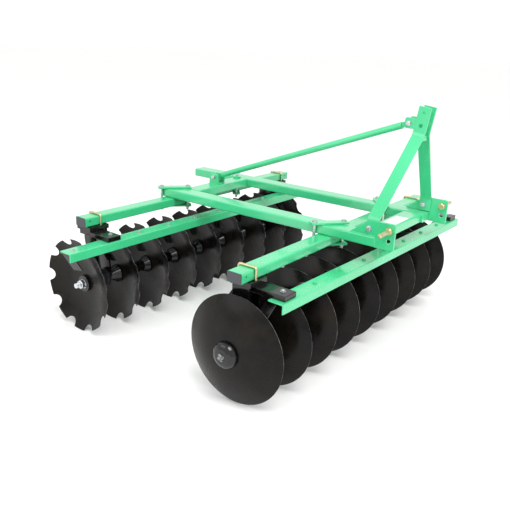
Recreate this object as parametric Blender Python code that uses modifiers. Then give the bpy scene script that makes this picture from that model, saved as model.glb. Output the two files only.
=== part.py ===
"""A mounted disc harrow with two gangs of nine discs under a welded box-section frame.

Metres, +Z up. The tractor's side of the machine is towards -Y and its right side towards -X.
Everything is laid out from the middle of the front cross member's front face, with the floor at
z = 0, and the whole machine is shifted at the end so that the origin lies under its middle.
"""

from math import atan2, cos, hypot, pi, radians, sin, sqrt, tau
from typing import NamedTuple

import bmesh
import bpy
from mathutils import Matrix, Vector

# --- Driving dimensions ---------------------------------------------------------------

seam = 0.0003  # left between pieces that touch
weld_lap = 0.003  # how far joined shapes run into each other

# Discs
disc_count = 9
disc_pitch = 0.220
disc_radius = 0.255
disc_thickness = 0.005
disc_flat_radius = 0.055
disc_dish = 0.058
disc_sides = 20
notched_disc_sides = 20
notch_count = 10
notch_radius = 0.036
notch_centre_radius = 0.259
notch_cutter_reach = 0.030

# Gang axle, spools and bearings
axle_radius = 0.016
bore_clearance = 0.0006
spool_flange_radius = 0.050
spool_flange_thickness = 0.010
spool_barrel_radius = 0.032
spool_taper = 0.030
axle_sides = 10
journal_radius = 0.022
journal_length = 0.100
dome_radius = 0.062
dome_height = 0.036
dome_edge = 0.008
dome_shoulder_radius = 0.048
dome_shoulder_height = 0.029
square_head_radius = 0.016
square_head_height = 0.010
end_washer_radius = 0.045
end_washer_thickness = 0.014
nut_radius = 0.026
nut_height = 0.026
thread_end = 0.026
thread_radius = 0.0136
bearing_width = 0.066
bearing_radius = 0.052
bearing_clearance = 0.0015
bearing_sides = 12

# Frame
frame_tube_width = 0.100
frame_tube_height = 0.050
tube_corner = 0.006
longitudinal_spacing = 0.577
disc_headroom = 0.0042  # between a disc's top and the scraper arms over it
longitudinal_front = -0.010
right_longitudinal_rear = 1.404
left_longitudinal_rear = 1.642
rear_cross_front = 1.191

# Gang beams
gang_beam_width = 0.080
gang_beam_height = 0.050
end_cap_thickness = 0.004
cap_inset = 0.001
cap_edge = 0.0015

# Crossing clamps
clamp_plate_width = 0.050
clamp_plate_thickness = 0.010
clamp_plate_overhang = 0.022
clamp_bolt_radius = 0.008
clamp_bolt_gap = 0.0015
clamp_head_radius = 0.013
clamp_head_height = 0.010
clamp_bolt_tail = 0.012
clamp_bore_reach = 0.010

# U-bolts, hangers and scrapers
u_bolt_radius = 0.006
u_bolt_side_gap = 0.0006
u_bolt_bend = 0.012
saddle_thickness = 0.024
saddle_overhang = 0.016
saddle_margin = 0.004
arm_width = 0.085
arm_thickness = 0.025
arm_lap = 0.0005
arm_past_scraper = 0.012
hanger_plate_thickness = 0.010
hanger_top_width = 0.092
hanger_foot_width = 0.078
hanger_foot_drop = 0.040
hanger_foot_rise = 0.020
hanger_toe_share = 0.6
hanger_shoulder_drop = 0.064
hanger_bore_clearance = 0.006
scraper_flange = 0.080
scraper_drop = 0.045
scraper_wall = 0.006
scraper_blade_width = 0.060
scraper_blade_thickness = 0.006
scraper_bolt_offset = 0.176
scraper_tip_offset = 0.102
scraper_tip_rise = 0.120  # above the axle
scraper_tip_forward = 0.075
blade_bolt_share = 0.62
blade_sink = 0.002
blade_knee_drop = 0.012
blade_lap = 0.008
blade_twist = 0.25

# Hitch, with heights above the frame tubes' tops
hitch_plate_thickness = 0.012
hitch_plate_inset = 0.006
hitch_plate_front = -0.107
hitch_plate_rise = 0.0772
hitch_plate_low = -0.0518
hitch_plate_shoulder = 0.020
hitch_gusset_tip = 0.122
hitch_gusset_edge = 0.004
link_pin_y = -0.078
link_pin_rise = 0.0422
link_pin_radius = 0.011
link_pin_reach = 0.105
link_collar_radius = 0.018
link_collar_length = 0.012
link_nut_radius = 0.019
link_nut_length = 0.016
lower_hole_drop = 0.052
pin_clearance = 0.0005
pin_chamfer = 0.003
pin_neck = 0.002
pin_tail = 0.006

# Mast and brace, with heights above the frame tubes' tops
mast_bar_width = 0.062
mast_bar_thickness = 0.010
mast_foot_y = 0.015
mast_foot_rise = 0.0032
mast_bolt_setback = 0.012
mast_bend_rise = 0.0782
mast_head_rise = 0.4542
mast_foot_relief = 0.0028
mast_head_relief = 0.0017
mast_top_rise = 0.5932
mast_lean = 0.138
mast_head_gap = 0.050
mast_pin_rise = 0.4992
mast_upper_hole_rise = 0.5622
mast_pin_hole_radius = 0.010
mast_upper_hole_radius = 0.007
mast_bolt_rise = 0.0342
mast_bolt_radius = 0.008
lug_length = 0.062
lug_thickness = 0.008
lug_half_height = 0.026
lug_rise = 0.002
lug_lap = 0.010
lug_bolt_inset = 0.030
hole_reach = 0.020
lug_bolt_rise = 0.5062
spacer_height = 0.028
spacer_width = 0.044
spacer_drop = 0.004
spacer_fit = 0.0008
brace_radius = 0.017
brace_tongue_thickness = 0.012
brace_tongue_length = 0.080
brace_tongue_height = 0.028
brace_tongue_lap = 0.030
brace_eye_margin = 0.018
brace_bolt_radius = 0.008
brace_bolt_head_radius = 0.013
brace_bolt_head = 0.010
brace_bolt_nut = 0.012
bracket_ear_height = 0.062
bracket_ear_thickness = 0.008
bracket_length = 0.070
bracket_base_thickness = 0.008
bracket_y = 1.246
bracket_bolt_rise = 0.036


gang_reach = (disc_count - 1) * disc_pitch


class Gang(NamedTuple):
    """One gang: facing is +1 where the hollow of its discs faces the machine's left.

    The places along a gang are counted from its first hub, which is the rightmost one; the
    functions below turn a distance past its right or left end hub into such a place.
    """

    name: str
    facing: int
    yaw: float
    beam_y: float
    first_hub: float
    axle_setback: float
    beam: tuple
    bearings: tuple
    u_bolts: tuple
    arms: tuple
    scraper: tuple
    scraper_gap: float
    scraper_yaw: float


def gang_places(first_hub, past_right, past_left):
    """X of two places: one past the right end hub, the other past the left end hub."""
    return (first_hub + past_right, first_hub + gang_reach + past_left)


front_hub, rear_hub = -1.108, -0.992
front_gang = Gang(
    name="front", facing=1, yaw=0.0, beam_y=0.265, first_hub=front_hub, axle_setback=-0.014,
    beam=gang_places(front_hub, 0.054, 0.206), bearings=gang_places(front_hub, 0.142, 0.113),
    u_bolts=gang_places(front_hub, 0.142, 0.083), arms=gang_places(front_hub, 0.168, 0.134),
    scraper=gang_places(front_hub, 0.100, 0.193), scraper_gap=0.0962, scraper_yaw=radians(-1.6),
)
rear_gang = Gang(
    name="rear", facing=-1, yaw=radians(-2.0), beam_y=1.328, first_hub=rear_hub, axle_setback=-0.036,
    beam=gang_places(rear_hub, 0.012, 0.054), bearings=gang_places(rear_hub, 0.105, -0.118),
    u_bolts=gang_places(rear_hub, 0.105, -0.028), arms=gang_places(rear_hub, 0.072, -0.128),
    scraper=gang_places(rear_hub, -0.223, -0.016), scraper_gap=0.0292, scraper_yaw=radians(-1.5),
)
gangs = (front_gang, rear_gang)

# --- Heights and planes that follow from the dimensions -------------------------------

axle_z = disc_radius
arm_bottom = 2 * disc_radius + disc_headroom
arm_top = arm_bottom + arm_thickness
saddle_top = arm_top + saddle_thickness
beam_bottom = saddle_top + seam
beam_top = beam_bottom + gang_beam_height
frame_bottom = beam_top + seam
frame_top = frame_bottom + frame_tube_height
scraper_top = arm_bottom - seam
scraper_bottom = scraper_top - scraper_drop
rim_reach = sqrt(disc_radius**2 - (scraper_bottom - axle_z) ** 2)  # at the scraper bar's foot
hitch_plate_top = frame_top + hitch_plate_rise
hitch_plate_bottom = frame_top + hitch_plate_low
link_pin_z = frame_top + link_pin_rise
mast_foot_bottom = frame_top + mast_foot_rise
mast_bend_z = frame_top + mast_bend_rise
mast_head_bend_z = frame_top + mast_head_rise
mast_top = frame_top + mast_top_rise
mast_pin_z = frame_top + mast_pin_rise
mast_upper_hole_z = frame_top + mast_upper_hole_rise
mast_bolt_z = frame_top + mast_bolt_rise
lug_bolt_z = frame_top + lug_bolt_rise
longitudinal_x = longitudinal_spacing / 2
plate_outer_x = longitudinal_x + frame_tube_width / 2 - hitch_plate_inset
plate_inner_x = plate_outer_x - hitch_plate_thickness
mast_bolt_y = mast_foot_y + mast_bolt_setback
bracket_bolt_z = frame_top + seam + bracket_base_thickness + bracket_bolt_rise
disc_bore_radius = axle_radius + bore_clearance
disc_hold = disc_thickness / 2 + seam

# Stands a flat plate up so that its outline lies in the Y and Z directions.
upright = Matrix(((0, 0, 1), (1, 0, 0), (0, 1, 0))).to_4x4()

# --- Materials ------------------------------------------------------------------------


def make_material(name, colour, roughness, metallic=0.0):
    material = bpy.data.materials.new(name)
    material.use_nodes = True
    shader = material.node_tree.nodes["Principled BSDF"]
    shader.inputs["Base Color"].default_value = (*colour, 1.0)
    shader.inputs["Roughness"].default_value = roughness
    shader.inputs["Metallic"].default_value = metallic
    material.diffuse_color = (*colour, 1.0)
    return material


# --- Scene and shape helpers ----------------------------------------------------------


def clear_scene():
    for old in list(bpy.data.objects):
        bpy.data.objects.remove(old, do_unlink=True)


def make_collections():
    parts = bpy.data.collections.new("disc_harrow")
    cutters = bpy.data.collections.new("cutters")
    cutters.hide_render = True
    bpy.context.scene.collection.children.link(parts)
    bpy.context.scene.collection.children.link(cutters)
    return parts, cutters


def add_object(name, data, material=None, parent=None):
    obj = bpy.data.objects.new(name, data)
    parts_collection.objects.link(obj)
    if material is not None and not data.materials:
        data.materials.append(material)
    if parent is not None:
        obj.parent = parent
    return obj


def mesh_from(build, name):
    mesh = bpy.data.meshes.new(name)
    bm = bmesh.new()
    build(bm)
    bm.to_mesh(mesh)
    bm.free()
    return mesh


def box_mesh(name, size, centre, turn=None):
    def build(bm):
        scale = Matrix.Diagonal((*size, 1.0))
        place = Matrix.Translation(centre) @ (turn or Matrix.Identity(4)) @ scale
        bmesh.ops.create_cube(bm, size=1.0, matrix=place)

    return mesh_from(build, name)


def box(name, size, centre, material, turn=None):
    return add_object(name, box_mesh(name, size, centre, turn), material)


def cylinder_mesh(name, radius, start, end, sides):
    start, end = Vector(start), Vector(end)
    turn = (end - start).to_track_quat("Z", "X").to_matrix().to_4x4()

    def build(bm):
        bmesh.ops.create_cone(
            bm, cap_ends=True, segments=sides, radius1=radius, radius2=radius,
            depth=(end - start).length, matrix=Matrix.Translation((start + end) / 2) @ turn,
        )

    return mesh_from(build, name)


def cylinder(name, radius, start, end, material, sides):
    return add_object(name, cylinder_mesh(name, radius, start, end, sides), material)


def turned(name, profile, sides, material, closed, parent=None):
    """A turned piece about Z from (radius, height) points that run down its outer side."""
    mesh = bpy.data.meshes.new(name)
    edges = [(i, i + 1) for i in range(len(profile) - 1)]
    if closed:
        edges.append((len(profile) - 1, 0))
    mesh.from_pydata([(radius, 0.0, height) for radius, height in profile], edges, [])
    obj = add_object(name, mesh, material, parent)
    screw = obj.modifiers.new("turn", "SCREW")
    screw.steps = sides
    screw.render_steps = sides
    screw.use_merge_vertices = not closed
    screw.merge_threshold = 0.0001
    return obj


def plate(name, outline, thickness, material):
    """A flat plate: the outline lies in the curve's XY plane, with the thickness centred on it."""
    curve = bpy.data.curves.new(name, "CURVE")
    curve.dimensions = "2D"
    curve.fill_mode = "BOTH"
    curve.extrude = thickness / 2
    spline = curve.splines.new("POLY")
    spline.points.add(len(outline) - 1)
    for point, (x, y) in zip(spline.points, outline):
        point.co = (x, y, 0.0, 1.0)
    spline.use_cyclic_u = True
    return add_object(name, curve, material)


def baked(obj):
    """Replaces an object by a plain mesh of what it evaluates to, and returns the new object."""
    bpy.context.view_layer.update()
    graph = bpy.context.evaluated_depsgraph_get()
    mesh = bpy.data.meshes.new_from_object(obj.evaluated_get(graph))
    bm = bmesh.new()
    bm.from_mesh(mesh)
    bmesh.ops.remove_doubles(bm, verts=bm.verts, dist=0.00005)
    bm.to_mesh(mesh)
    bm.free()
    name, parent, matrix, old_data = obj.name, obj.parent, obj.matrix_world.copy(), obj.data
    bpy.data.objects.remove(obj, do_unlink=True)
    if isinstance(old_data, bpy.types.Curve):
        bpy.data.curves.remove(old_data)
    new = bpy.data.objects.new(name, mesh)
    parts_collection.objects.link(new)
    new.parent = parent
    new.matrix_world = matrix
    return new


def boolean(target, tool, operation):
    """Cuts with, or joins, another object, which then waits with the cutters."""
    for collection in list(tool.users_collection):
        collection.objects.unlink(tool)
    cutters_collection.objects.link(tool)
    tool.hide_render = True
    tool.display_type = "WIRE"
    modifier = target.modifiers.new(operation.lower(), "BOOLEAN")
    modifier.operation = operation
    modifier.object = tool
    modifier.solver = "EXACT"


def cut(target, tool):
    boolean(target, tool, "DIFFERENCE")


def join(target, tool):
    boolean(target, tool, "UNION")


def round_edges(obj, width):
    bevel = obj.modifiers.new("edges", "BEVEL")
    bevel.width = width
    bevel.segments = 1
    bevel.limit_method = "ANGLE"
    return obj


def shade_round(obj):
    obj.data.shade_smooth()
    obj.data.set_sharp_from_angle(angle=radians(35))
    return obj


# --- Discs ----------------------------------------------------------------------------


def dish_height(radius):
    """How far a disc's middle surface lies from its hub's plane, at a radius."""
    run = max(0.0, radius - disc_flat_radius)
    reach = disc_radius - disc_flat_radius
    curve = (reach * reach + disc_dish * disc_dish) / (2 * disc_dish)
    return curve - sqrt(curve * curve - run * run)


def disc_profile(rim_radius):
    radii = [disc_bore_radius, disc_flat_radius, (disc_flat_radius + disc_radius) / 2]
    half = disc_thickness / 2
    hollow = [(r, dish_height(r) + half) for r in radii]
    crown = [(r, dish_height(r) - half) for r in reversed(radii)]
    rim = dish_height(disc_radius)
    return hollow + [(rim_radius, rim + half), (rim_radius, rim - half)] + crown


def flat_footed_turn(sides):
    """Half a side's angle, which puts the middle of one side at the bottom."""
    return pi / sides


def rim_over_flats(sides):
    """Corner radius of a many-sided rim whose flats lie at the disc's radius."""
    return disc_radius / cos(pi / sides)


def turned_disc(name, sides):
    """A dished disc whose rim stands on the middle of one of its flats."""
    disc = baked(turned(name, disc_profile(rim_over_flats(sides)), sides, steel_black, closed=True))
    disc.data.transform(Matrix.Rotation(flat_footed_turn(sides), 4, "Z"))
    return disc


def plain_disc_mesh():
    return turned_disc("plain_disc", disc_sides)


def notched_disc_mesh():
    disc = turned_disc("notched_disc", notched_disc_sides)
    rim = dish_height(disc_radius)
    for i in range(notch_count):
        angle = tau * (i + 0.5) / notch_count
        middle = Vector((cos(angle), sin(angle), 0.0)) * notch_centre_radius
        start = middle + Vector((0, 0, rim - notch_cutter_reach))
        end = middle + Vector((0, 0, rim + notch_cutter_reach))
        cut(disc, cylinder(f"notch_cutter_{i + 1}", notch_radius, start, end, steel_black, sides=10))
    return baked(disc)


def make_discs(gang, empty, pattern):
    mesh = pattern.data
    for i in range(disc_count):
        nth = i + 1 if gang.facing > 0 else disc_count - i
        disc = add_object(f"{gang.name}_disc_{nth}", mesh, parent=empty)
        disc.location.z = i * disc_pitch
        shade_round(disc)


# --- Gang axles -----------------------------------------------------------------------


def domed_end(gang):
    """X of the end hub on the crowned side of the discs, where the gang's dome is."""
    return gang.first_hub if gang.facing > 0 else gang.first_hub + gang_reach


def gang_line(gang, along, setback=0.0):
    """A point on the gang's line, at a distance along it from the machine's middle plane."""
    direction = Vector((cos(gang.yaw), sin(gang.yaw), 0.0))
    rearward = Vector((-sin(gang.yaw), cos(gang.yaw), 0.0))
    return Vector((0.0, gang.beam_y, 0.0)) + direction * along + rearward * setback


def gang_turn(gang):
    """Local Z runs along the gang towards the hollow of its discs, local X points down."""
    along = Vector((cos(gang.yaw), sin(gang.yaw), 0.0)) * gang.facing
    down = Vector((0.0, 0.0, -1.0))
    side = along.cross(down)
    return Matrix((down, side, along)).transposed().to_4x4()


def make_gang_empty(gang):
    empty = bpy.data.objects.new(f"{gang.name}_gang_axis", None)
    parts_collection.objects.link(empty)
    place = gang_line(gang, domed_end(gang), gang.axle_setback)
    place.z = axle_z
    empty.matrix_world = Matrix.Translation(place) @ gang_turn(gang)
    return empty


def bearing_heights(gang):
    """Distances of the two bearings from the gang's domed end, measured along its axle."""
    return sorted((place - domed_end(gang)) * gang.facing for place in gang.bearings)


def spool_profile(top, bottom, bearings):
    """Points down one spool between two discs, with a journal where a bearing runs on it."""
    flange, barrel = spool_flange_radius, spool_barrel_radius
    points = [(flange, top), (flange, top - spool_flange_thickness)]
    carried = [place for place in bearings if bottom < place < top]
    if carried:
        journal_top = carried[0] + journal_length / 2
        journal_bottom = carried[0] - journal_length / 2
        points += [(journal_radius, min(journal_top, top - spool_flange_thickness))]
        points += [(journal_radius, max(journal_bottom, bottom + spool_flange_thickness))]
    else:
        points += [(barrel, top - spool_flange_thickness - spool_taper)]
        points += [(barrel, bottom + spool_flange_thickness + spool_taper)]
    return points + [(flange, bottom + spool_flange_thickness), (flange, bottom)]


def make_axle(gang, empty):
    bearings = bearing_heights(gang)
    last_hub = gang_reach
    spool_end = last_hub + disc_hold
    points = []
    outer = [place for place in bearings if place > last_hub]
    if outer:
        top = outer[0] + journal_length / 2 + spool_flange_thickness
        points += spool_profile(top, spool_end, bearings)
        spool_end = top
    nut_top = end_washer_thickness + nut_height
    tail = [(0.0, nut_top + thread_end), (thread_radius, nut_top + thread_end)]
    tail += [(thread_radius, nut_top), (nut_radius, nut_top), (nut_radius, end_washer_thickness)]
    tail += [(end_washer_radius, end_washer_thickness), (end_washer_radius, 0.0)]
    points = [(radius, spool_end + height) for radius, height in tail] + points
    for i in reversed(range(disc_count)):
        hub = i * disc_pitch
        points += [(axle_radius, hub + disc_hold), (axle_radius, hub - disc_hold)]
        if i > 0:
            points += spool_profile(hub - disc_hold, hub - disc_pitch + disc_hold, bearings)
    points += [(dome_radius, -disc_hold), (dome_radius, -disc_hold - dome_edge)]
    points += [(dome_shoulder_radius, -disc_hold - dome_shoulder_height)]
    points += [(square_head_radius, -disc_hold - dome_height)]
    points += [(square_head_radius, -disc_hold - dome_height - square_head_height)]
    points += [(0.0, -disc_hold - dome_height - square_head_height)]
    turned(f"{gang.name}_gang_axle", points, axle_sides, steel_black, closed=False, parent=empty)


# --- Bearings and hangers -------------------------------------------------------------


def side_name(along):
    return "right" if along < 0 else "left"


def make_bearing(gang, along):
    inner = journal_radius + bearing_clearance
    half = bearing_width / 2 - seam
    profile = [(inner, half), (bearing_radius, half), (bearing_radius, -half), (inner, -half)]
    name = f"{gang.name}_{side_name(along)}_bearing"
    bearing = turned(name, profile, bearing_sides, cast_black, closed=True)
    place = gang_line(gang, along, gang.axle_setback)
    place.z = axle_z
    bearing.matrix_world = Matrix.Translation(place) @ gang_turn(gang)


def make_hanger(gang, along, u_bolt, arm):
    """Saddle under the beam, arm to the scraper bar and two plates down to the bearing."""
    name = f"{gang.name}_{side_name(along)}_hanger"
    turn = Matrix.Rotation(gang.yaw, 4, "Z")
    half_straddle = bearing_width / 2 + hanger_plate_thickness
    half_arm = arm_width / 2
    low = min(along - half_straddle, u_bolt - half_arm, arm - half_arm) - saddle_margin
    high = max(along + half_straddle, u_bolt + half_arm, arm + half_arm) + saddle_margin
    saddle_depth = gang_beam_width + 2 * saddle_overhang
    middle = gang_line(gang, (low + high) / 2)
    middle.z = (saddle_top + arm_top) / 2
    saddle = box(name, (high - low, saddle_depth, saddle_thickness), middle, steel_black, turn)

    scraper_near = scraper_point(gang, arm).y
    arm_rear = gang_beam_width / 2
    arm_front = gang_line(gang, arm).y - scraper_near - arm_past_scraper
    arm_centre = gang_line(gang, arm, (arm_rear - arm_front) / 2)
    arm_centre.z = arm_top - arm_thickness / 2 + arm_lap
    size = (arm_width, arm_rear + arm_front, arm_thickness + 2 * arm_lap)
    join(saddle, box(f"{name}_arm", size, arm_centre, steel_black, turn))

    foot_z = axle_z - hanger_foot_drop
    wide_z = axle_z + hanger_foot_rise
    top_z = arm_top + weld_lap
    shoulder_z = top_z - hanger_shoulder_drop
    toe = hanger_foot_width / 2 * hanger_toe_share
    half_top, half_foot = hanger_top_width / 2, hanger_foot_width / 2
    shift = gang.axle_setback
    outline = [(-half_top, top_z), (-half_top, shoulder_z), (shift - half_foot, wide_z),
               (shift - toe, foot_z), (shift + toe, foot_z),
               (shift + half_foot, wide_z), (half_top, shoulder_z), (half_top, top_z)]
    for side in (-1, 1):
        offset = side * (bearing_width / 2 + hanger_plate_thickness / 2)
        leg = plate(f"{name}_leg_{side + 2}", outline, hanger_plate_thickness, steel_black)
        leg.matrix_world = Matrix.Translation(gang_line(gang, along + offset)) @ turn @ upright
        join(saddle, baked(leg))
    start = gang_line(gang, along - bearing_width, gang.axle_setback)
    end = gang_line(gang, along + bearing_width, gang.axle_setback)
    start.z = end.z = axle_z
    bore_radius = journal_radius + hanger_bore_clearance
    cut(saddle, cylinder(f"{name}_bore", bore_radius, start, end, steel_black, sides=12))


# --- Scraper bars ---------------------------------------------------------------------


def scraper_point(gang, along):
    """A point on the front edge of the gang's scraper bar, which stands clear of the disc rims."""
    front = gang.beam_y + gang.axle_setback - rim_reach - gang.scraper_gap
    return Vector((along, front + along * sin(gang.scraper_yaw), scraper_top))


def make_scraper_bar(gang):
    turn = Matrix.Rotation(gang.scraper_yaw, 4, "Z")
    length = gang.scraper[1] - gang.scraper[0]
    middle = scraper_point(gang, (gang.scraper[1] + gang.scraper[0]) / 2)
    angle_section = [(0, 0), (0, -scraper_drop), (scraper_wall, -scraper_drop),
                     (scraper_wall, -scraper_wall), (scraper_flange, -scraper_wall), (scraper_flange, 0)]
    blank = plate(f"{gang.name}_scraper_bar", angle_section, length, paint_green)
    blank.matrix_world = Matrix.Translation(middle) @ turn @ upright
    bar = baked(blank)
    for i in range(disc_count):
        hub = domed_end(gang) + gang.facing * i * disc_pitch
        make_scraper_blade(gang, bar, i, hub)


def make_scraper_blade(gang, bar, i, hub):
    """A flat blade from under the bar's flange down to the hollow of its disc."""
    bolt_x = hub + gang.facing * scraper_bolt_offset
    tip_x = hub + gang.facing * scraper_tip_offset
    bolt_back = scraper_flange * blade_bolt_share
    bolt = scraper_point(gang, bolt_x) + Vector((0, bolt_back, -scraper_wall - blade_sink))
    axle = gang_line(gang, tip_x, gang.axle_setback)
    tip = Vector((tip_x, axle.y - scraper_tip_forward, axle_z + scraper_tip_rise))
    knee = bolt + Vector((0, bolt_back, -blade_knee_drop))
    for part, (start, end) in enumerate(((bolt, knee), (knee, tip))):
        run = end - start
        along = run.normalized()
        across = Vector((gang.facing, 0, 0)) if part == 0 else Vector((blade_twist * gang.facing, 1, 0))
        normal = along.cross(across).normalized()
        across = normal.cross(along).normalized()
        turn = Matrix((across, along, normal)).transposed().to_4x4()
        size = (scraper_blade_width, run.length + blade_lap, scraper_blade_thickness)
        blade = box(f"{gang.name}_blade_{i}_{part}", size, (start + end) / 2, steel_black, turn)
        join(bar, blade)


# --- Gang beams, end caps, U-bolts and crossing clamps --------------------------------


def make_gang_beam(gang):
    turn = Matrix.Rotation(gang.yaw, 4, "Z")
    middle = gang_line(gang, (gang.beam[1] + gang.beam[0]) / 2)
    middle.z = (beam_top + beam_bottom) / 2
    size = (gang.beam[1] - gang.beam[0], gang_beam_width, gang_beam_height)
    beam = box(f"{gang.name}_gang_beam", size, middle, paint_green, turn)
    round_edges(beam, tube_corner)
    for along, out in ((gang.beam[0], -1), (gang.beam[1], 1)):
        place = gang_line(gang, along + out * (seam + end_cap_thickness / 2))
        place.z = middle.z
        size = (end_cap_thickness, gang_beam_width - 2 * cap_inset, gang_beam_height - 2 * cap_inset)
        cap = box(f"{gang.name}_{side_name(along)}_end_cap", size, place, cap_charcoal, turn)
        round_edges(cap, cap_edge)


def make_u_bolt(gang, along):
    """A round bar bent over the gang beam, with its legs down both sides to the saddle."""
    half = gang_beam_width / 2 + u_bolt_radius + u_bolt_side_gap
    top = beam_top + u_bolt_radius + u_bolt_side_gap
    foot = saddle_top + u_bolt_side_gap
    points = [(-half, foot)]
    for corner, turn_from in ((-half, pi), (half, pi / 2)):
        centre_y = corner + u_bolt_bend if corner < 0 else corner - u_bolt_bend
        for i in range(4):
            angle = turn_from - i * pi / 6
            bend_z = top - u_bolt_bend + u_bolt_bend * sin(angle)
            points.append((centre_y + u_bolt_bend * cos(angle), bend_z))
    points.append((half, foot))
    curve = bpy.data.curves.new("u_bolt", "CURVE")
    curve.dimensions = "3D"
    curve.bevel_depth = u_bolt_radius
    curve.bevel_resolution = 2
    curve.use_fill_caps = True
    spline = curve.splines.new("POLY")
    spline.points.add(len(points) - 1)
    for point, (y, z) in zip(spline.points, points):
        point.co = (0.0, y, z, 1.0)
    u_bolt = add_object(f"{gang.name}_{side_name(along)}_u_bolt", curve, zinc_yellow)
    u_bolt.location = gang_line(gang, along)
    u_bolt.rotation_euler.z = gang.yaw


def make_clamp(gang, side):
    """Two plates set slantwise over a crossing, drawn together by two long bolts."""
    name = f"{gang.name}_{side_name(side)}_clamp"
    x = side * longitudinal_x
    crossing = gang_line(gang, x)
    half_x = frame_tube_width / 2 + clamp_bolt_radius + clamp_bolt_gap
    half_y = gang_beam_width / 2 + clamp_bolt_radius + clamp_bolt_gap
    half_y += abs(sin(gang.yaw)) * half_x
    slant = atan2(side * half_y, half_x)
    reach = hypot(half_x, half_y) + clamp_plate_overhang
    turn = Matrix.Rotation(slant, 4, "Z")
    top_z = frame_top + seam + clamp_plate_thickness / 2
    low_z = beam_bottom - seam - clamp_plate_thickness / 2
    size = (2 * reach, clamp_plate_width, clamp_plate_thickness)
    clamp = box(name, size, (crossing.x, crossing.y, top_z), paint_green, turn)
    join(clamp, box(f"{name}_lower", size, (crossing.x, crossing.y, low_z), paint_green, turn))
    high = top_z + clamp_plate_thickness / 2 + clamp_head_height
    nut_low = low_z - clamp_plate_thickness / 2 - clamp_head_height
    heads = ((top_z + weld_lap, high), (nut_low, low_z - weld_lap))
    for sign in (-1, 1):
        bolt_x, bolt_y = crossing.x + sign * half_x, crossing.y + sign * side * half_y

        def bolt_part(tag, radius, low, top, sides):
            ends = (bolt_x, bolt_y, low), (bolt_x, bolt_y, top)
            return cylinder(f"{name}_bolt_{sign + 2}_{tag}", radius, *ends, zinc_bright, sides)

        shank_low = nut_low - clamp_bolt_tail
        join(clamp, bolt_part("shank", clamp_bolt_radius, shank_low, high - weld_lap, 8))
        for number, (low, top) in enumerate(heads):
            join(clamp, bolt_part(f"head_{number}", clamp_head_radius, low, top, 6))
        if gang is rear_gang and sign * side < 0:
            bore_radius = clamp_bolt_radius + clamp_bolt_gap
            low, top = frame_bottom - clamp_bore_reach, frame_top + clamp_bore_reach
            cut(rear_cross_member, bolt_part("bore", bore_radius, low, top, 12))


# --- Frame ----------------------------------------------------------------------------


def make_frame():
    middle_z = frame_top - frame_tube_height / 2
    for side, rear in ((-1, right_longitudinal_rear), (1, left_longitudinal_rear)):
        size = (frame_tube_width, rear - longitudinal_front, frame_tube_height)
        centre = (side * longitudinal_x, (rear + longitudinal_front) / 2, middle_z)
        name = f"{side_name(side)}_longitudinal"
        round_edges(box(name, size, centre, paint_green), tube_corner)
    between = longitudinal_spacing - frame_tube_width - 2 * seam
    for name, front in (("front_cross_member", 0.0), ("rear_cross_member", rear_cross_front)):
        size = (between, frame_tube_width, frame_tube_height)
        centre = (0.0, front + frame_tube_width / 2, middle_z)
        member = round_edges(box(name, size, centre, paint_green), tube_corner)
    return member


# --- Hitch ----------------------------------------------------------------------------


def across_hole(name, radius, x, half_length, y, z):
    """A cutter along X whose flats lie at the radius, so that a pin of that size fits."""
    sides = 10
    ends = (x - half_length, y, z), (x + half_length, y, z)
    return cylinder(name, radius / cos(pi / sides), *ends, paint_green, sides)


def make_hitch_plate(side):
    step_y = longitudinal_front - seam
    ledge = frame_top + seam
    outline = [
        (hitch_plate_front, hitch_plate_bottom), (step_y, hitch_plate_bottom), (step_y, ledge),
        (hitch_gusset_tip, ledge), (hitch_gusset_tip, ledge + hitch_gusset_edge),
        (hitch_plate_shoulder, hitch_plate_top), (hitch_plate_front, hitch_plate_top),
    ]
    name = f"{side_name(side)}_hitch_plate"
    blank = plate(name, outline, hitch_plate_thickness, paint_green)
    x = side * (plate_outer_x + plate_inner_x) / 2
    blank.matrix_world = Matrix.Translation((x, 0, 0)) @ upright
    made = baked(blank)
    holes = (
        (link_pin_radius + pin_clearance, link_pin_y, link_pin_z),
        (link_pin_radius + pin_clearance, link_pin_y, link_pin_z - lower_hole_drop),
        (mast_bolt_radius + pin_clearance, mast_bolt_y, mast_bolt_z),
    )
    for number, (radius, y, z) in enumerate(holes):
        cut(made, across_hole(f"{name}_hole_{number}", radius, x, hitch_plate_thickness, y, z))


def make_link_pin(side):
    """A turned pin through the hitch plate: collar outside, nut inside."""
    outside = plate_outer_x + seam
    inside = plate_inner_x - seam
    tip = outside + link_pin_reach
    nut_end = inside - link_nut_length
    shank = link_pin_radius
    points = [
        (0.0, tip), (shank - pin_neck, tip), (shank, tip - pin_chamfer),
        (shank, outside + link_collar_length), (link_collar_radius, outside + link_collar_length),
        (link_collar_radius, outside), (shank, outside), (shank, inside), (link_nut_radius, inside),
        (link_nut_radius, nut_end), (shank - pin_neck, nut_end),
        (shank - pin_neck, nut_end - pin_tail), (0.0, nut_end - pin_tail),
    ]
    pin = turned(f"{side_name(side)}_link_pin", points, 10, zinc_yellow, closed=False)
    turn = Matrix.Rotation(side * pi / 2, 4, "Y")
    pin.matrix_world = Matrix.Translation((0.0, link_pin_y, link_pin_z)) @ turn


# --- Mast and brace -------------------------------------------------------------------


def mast_middle_y(z):
    """Middle of the mast bar's width at a height: upright foot, then leaning to the tractor."""
    return mast_foot_y - mast_lean * max(0.0, z - mast_bend_z)


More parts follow.
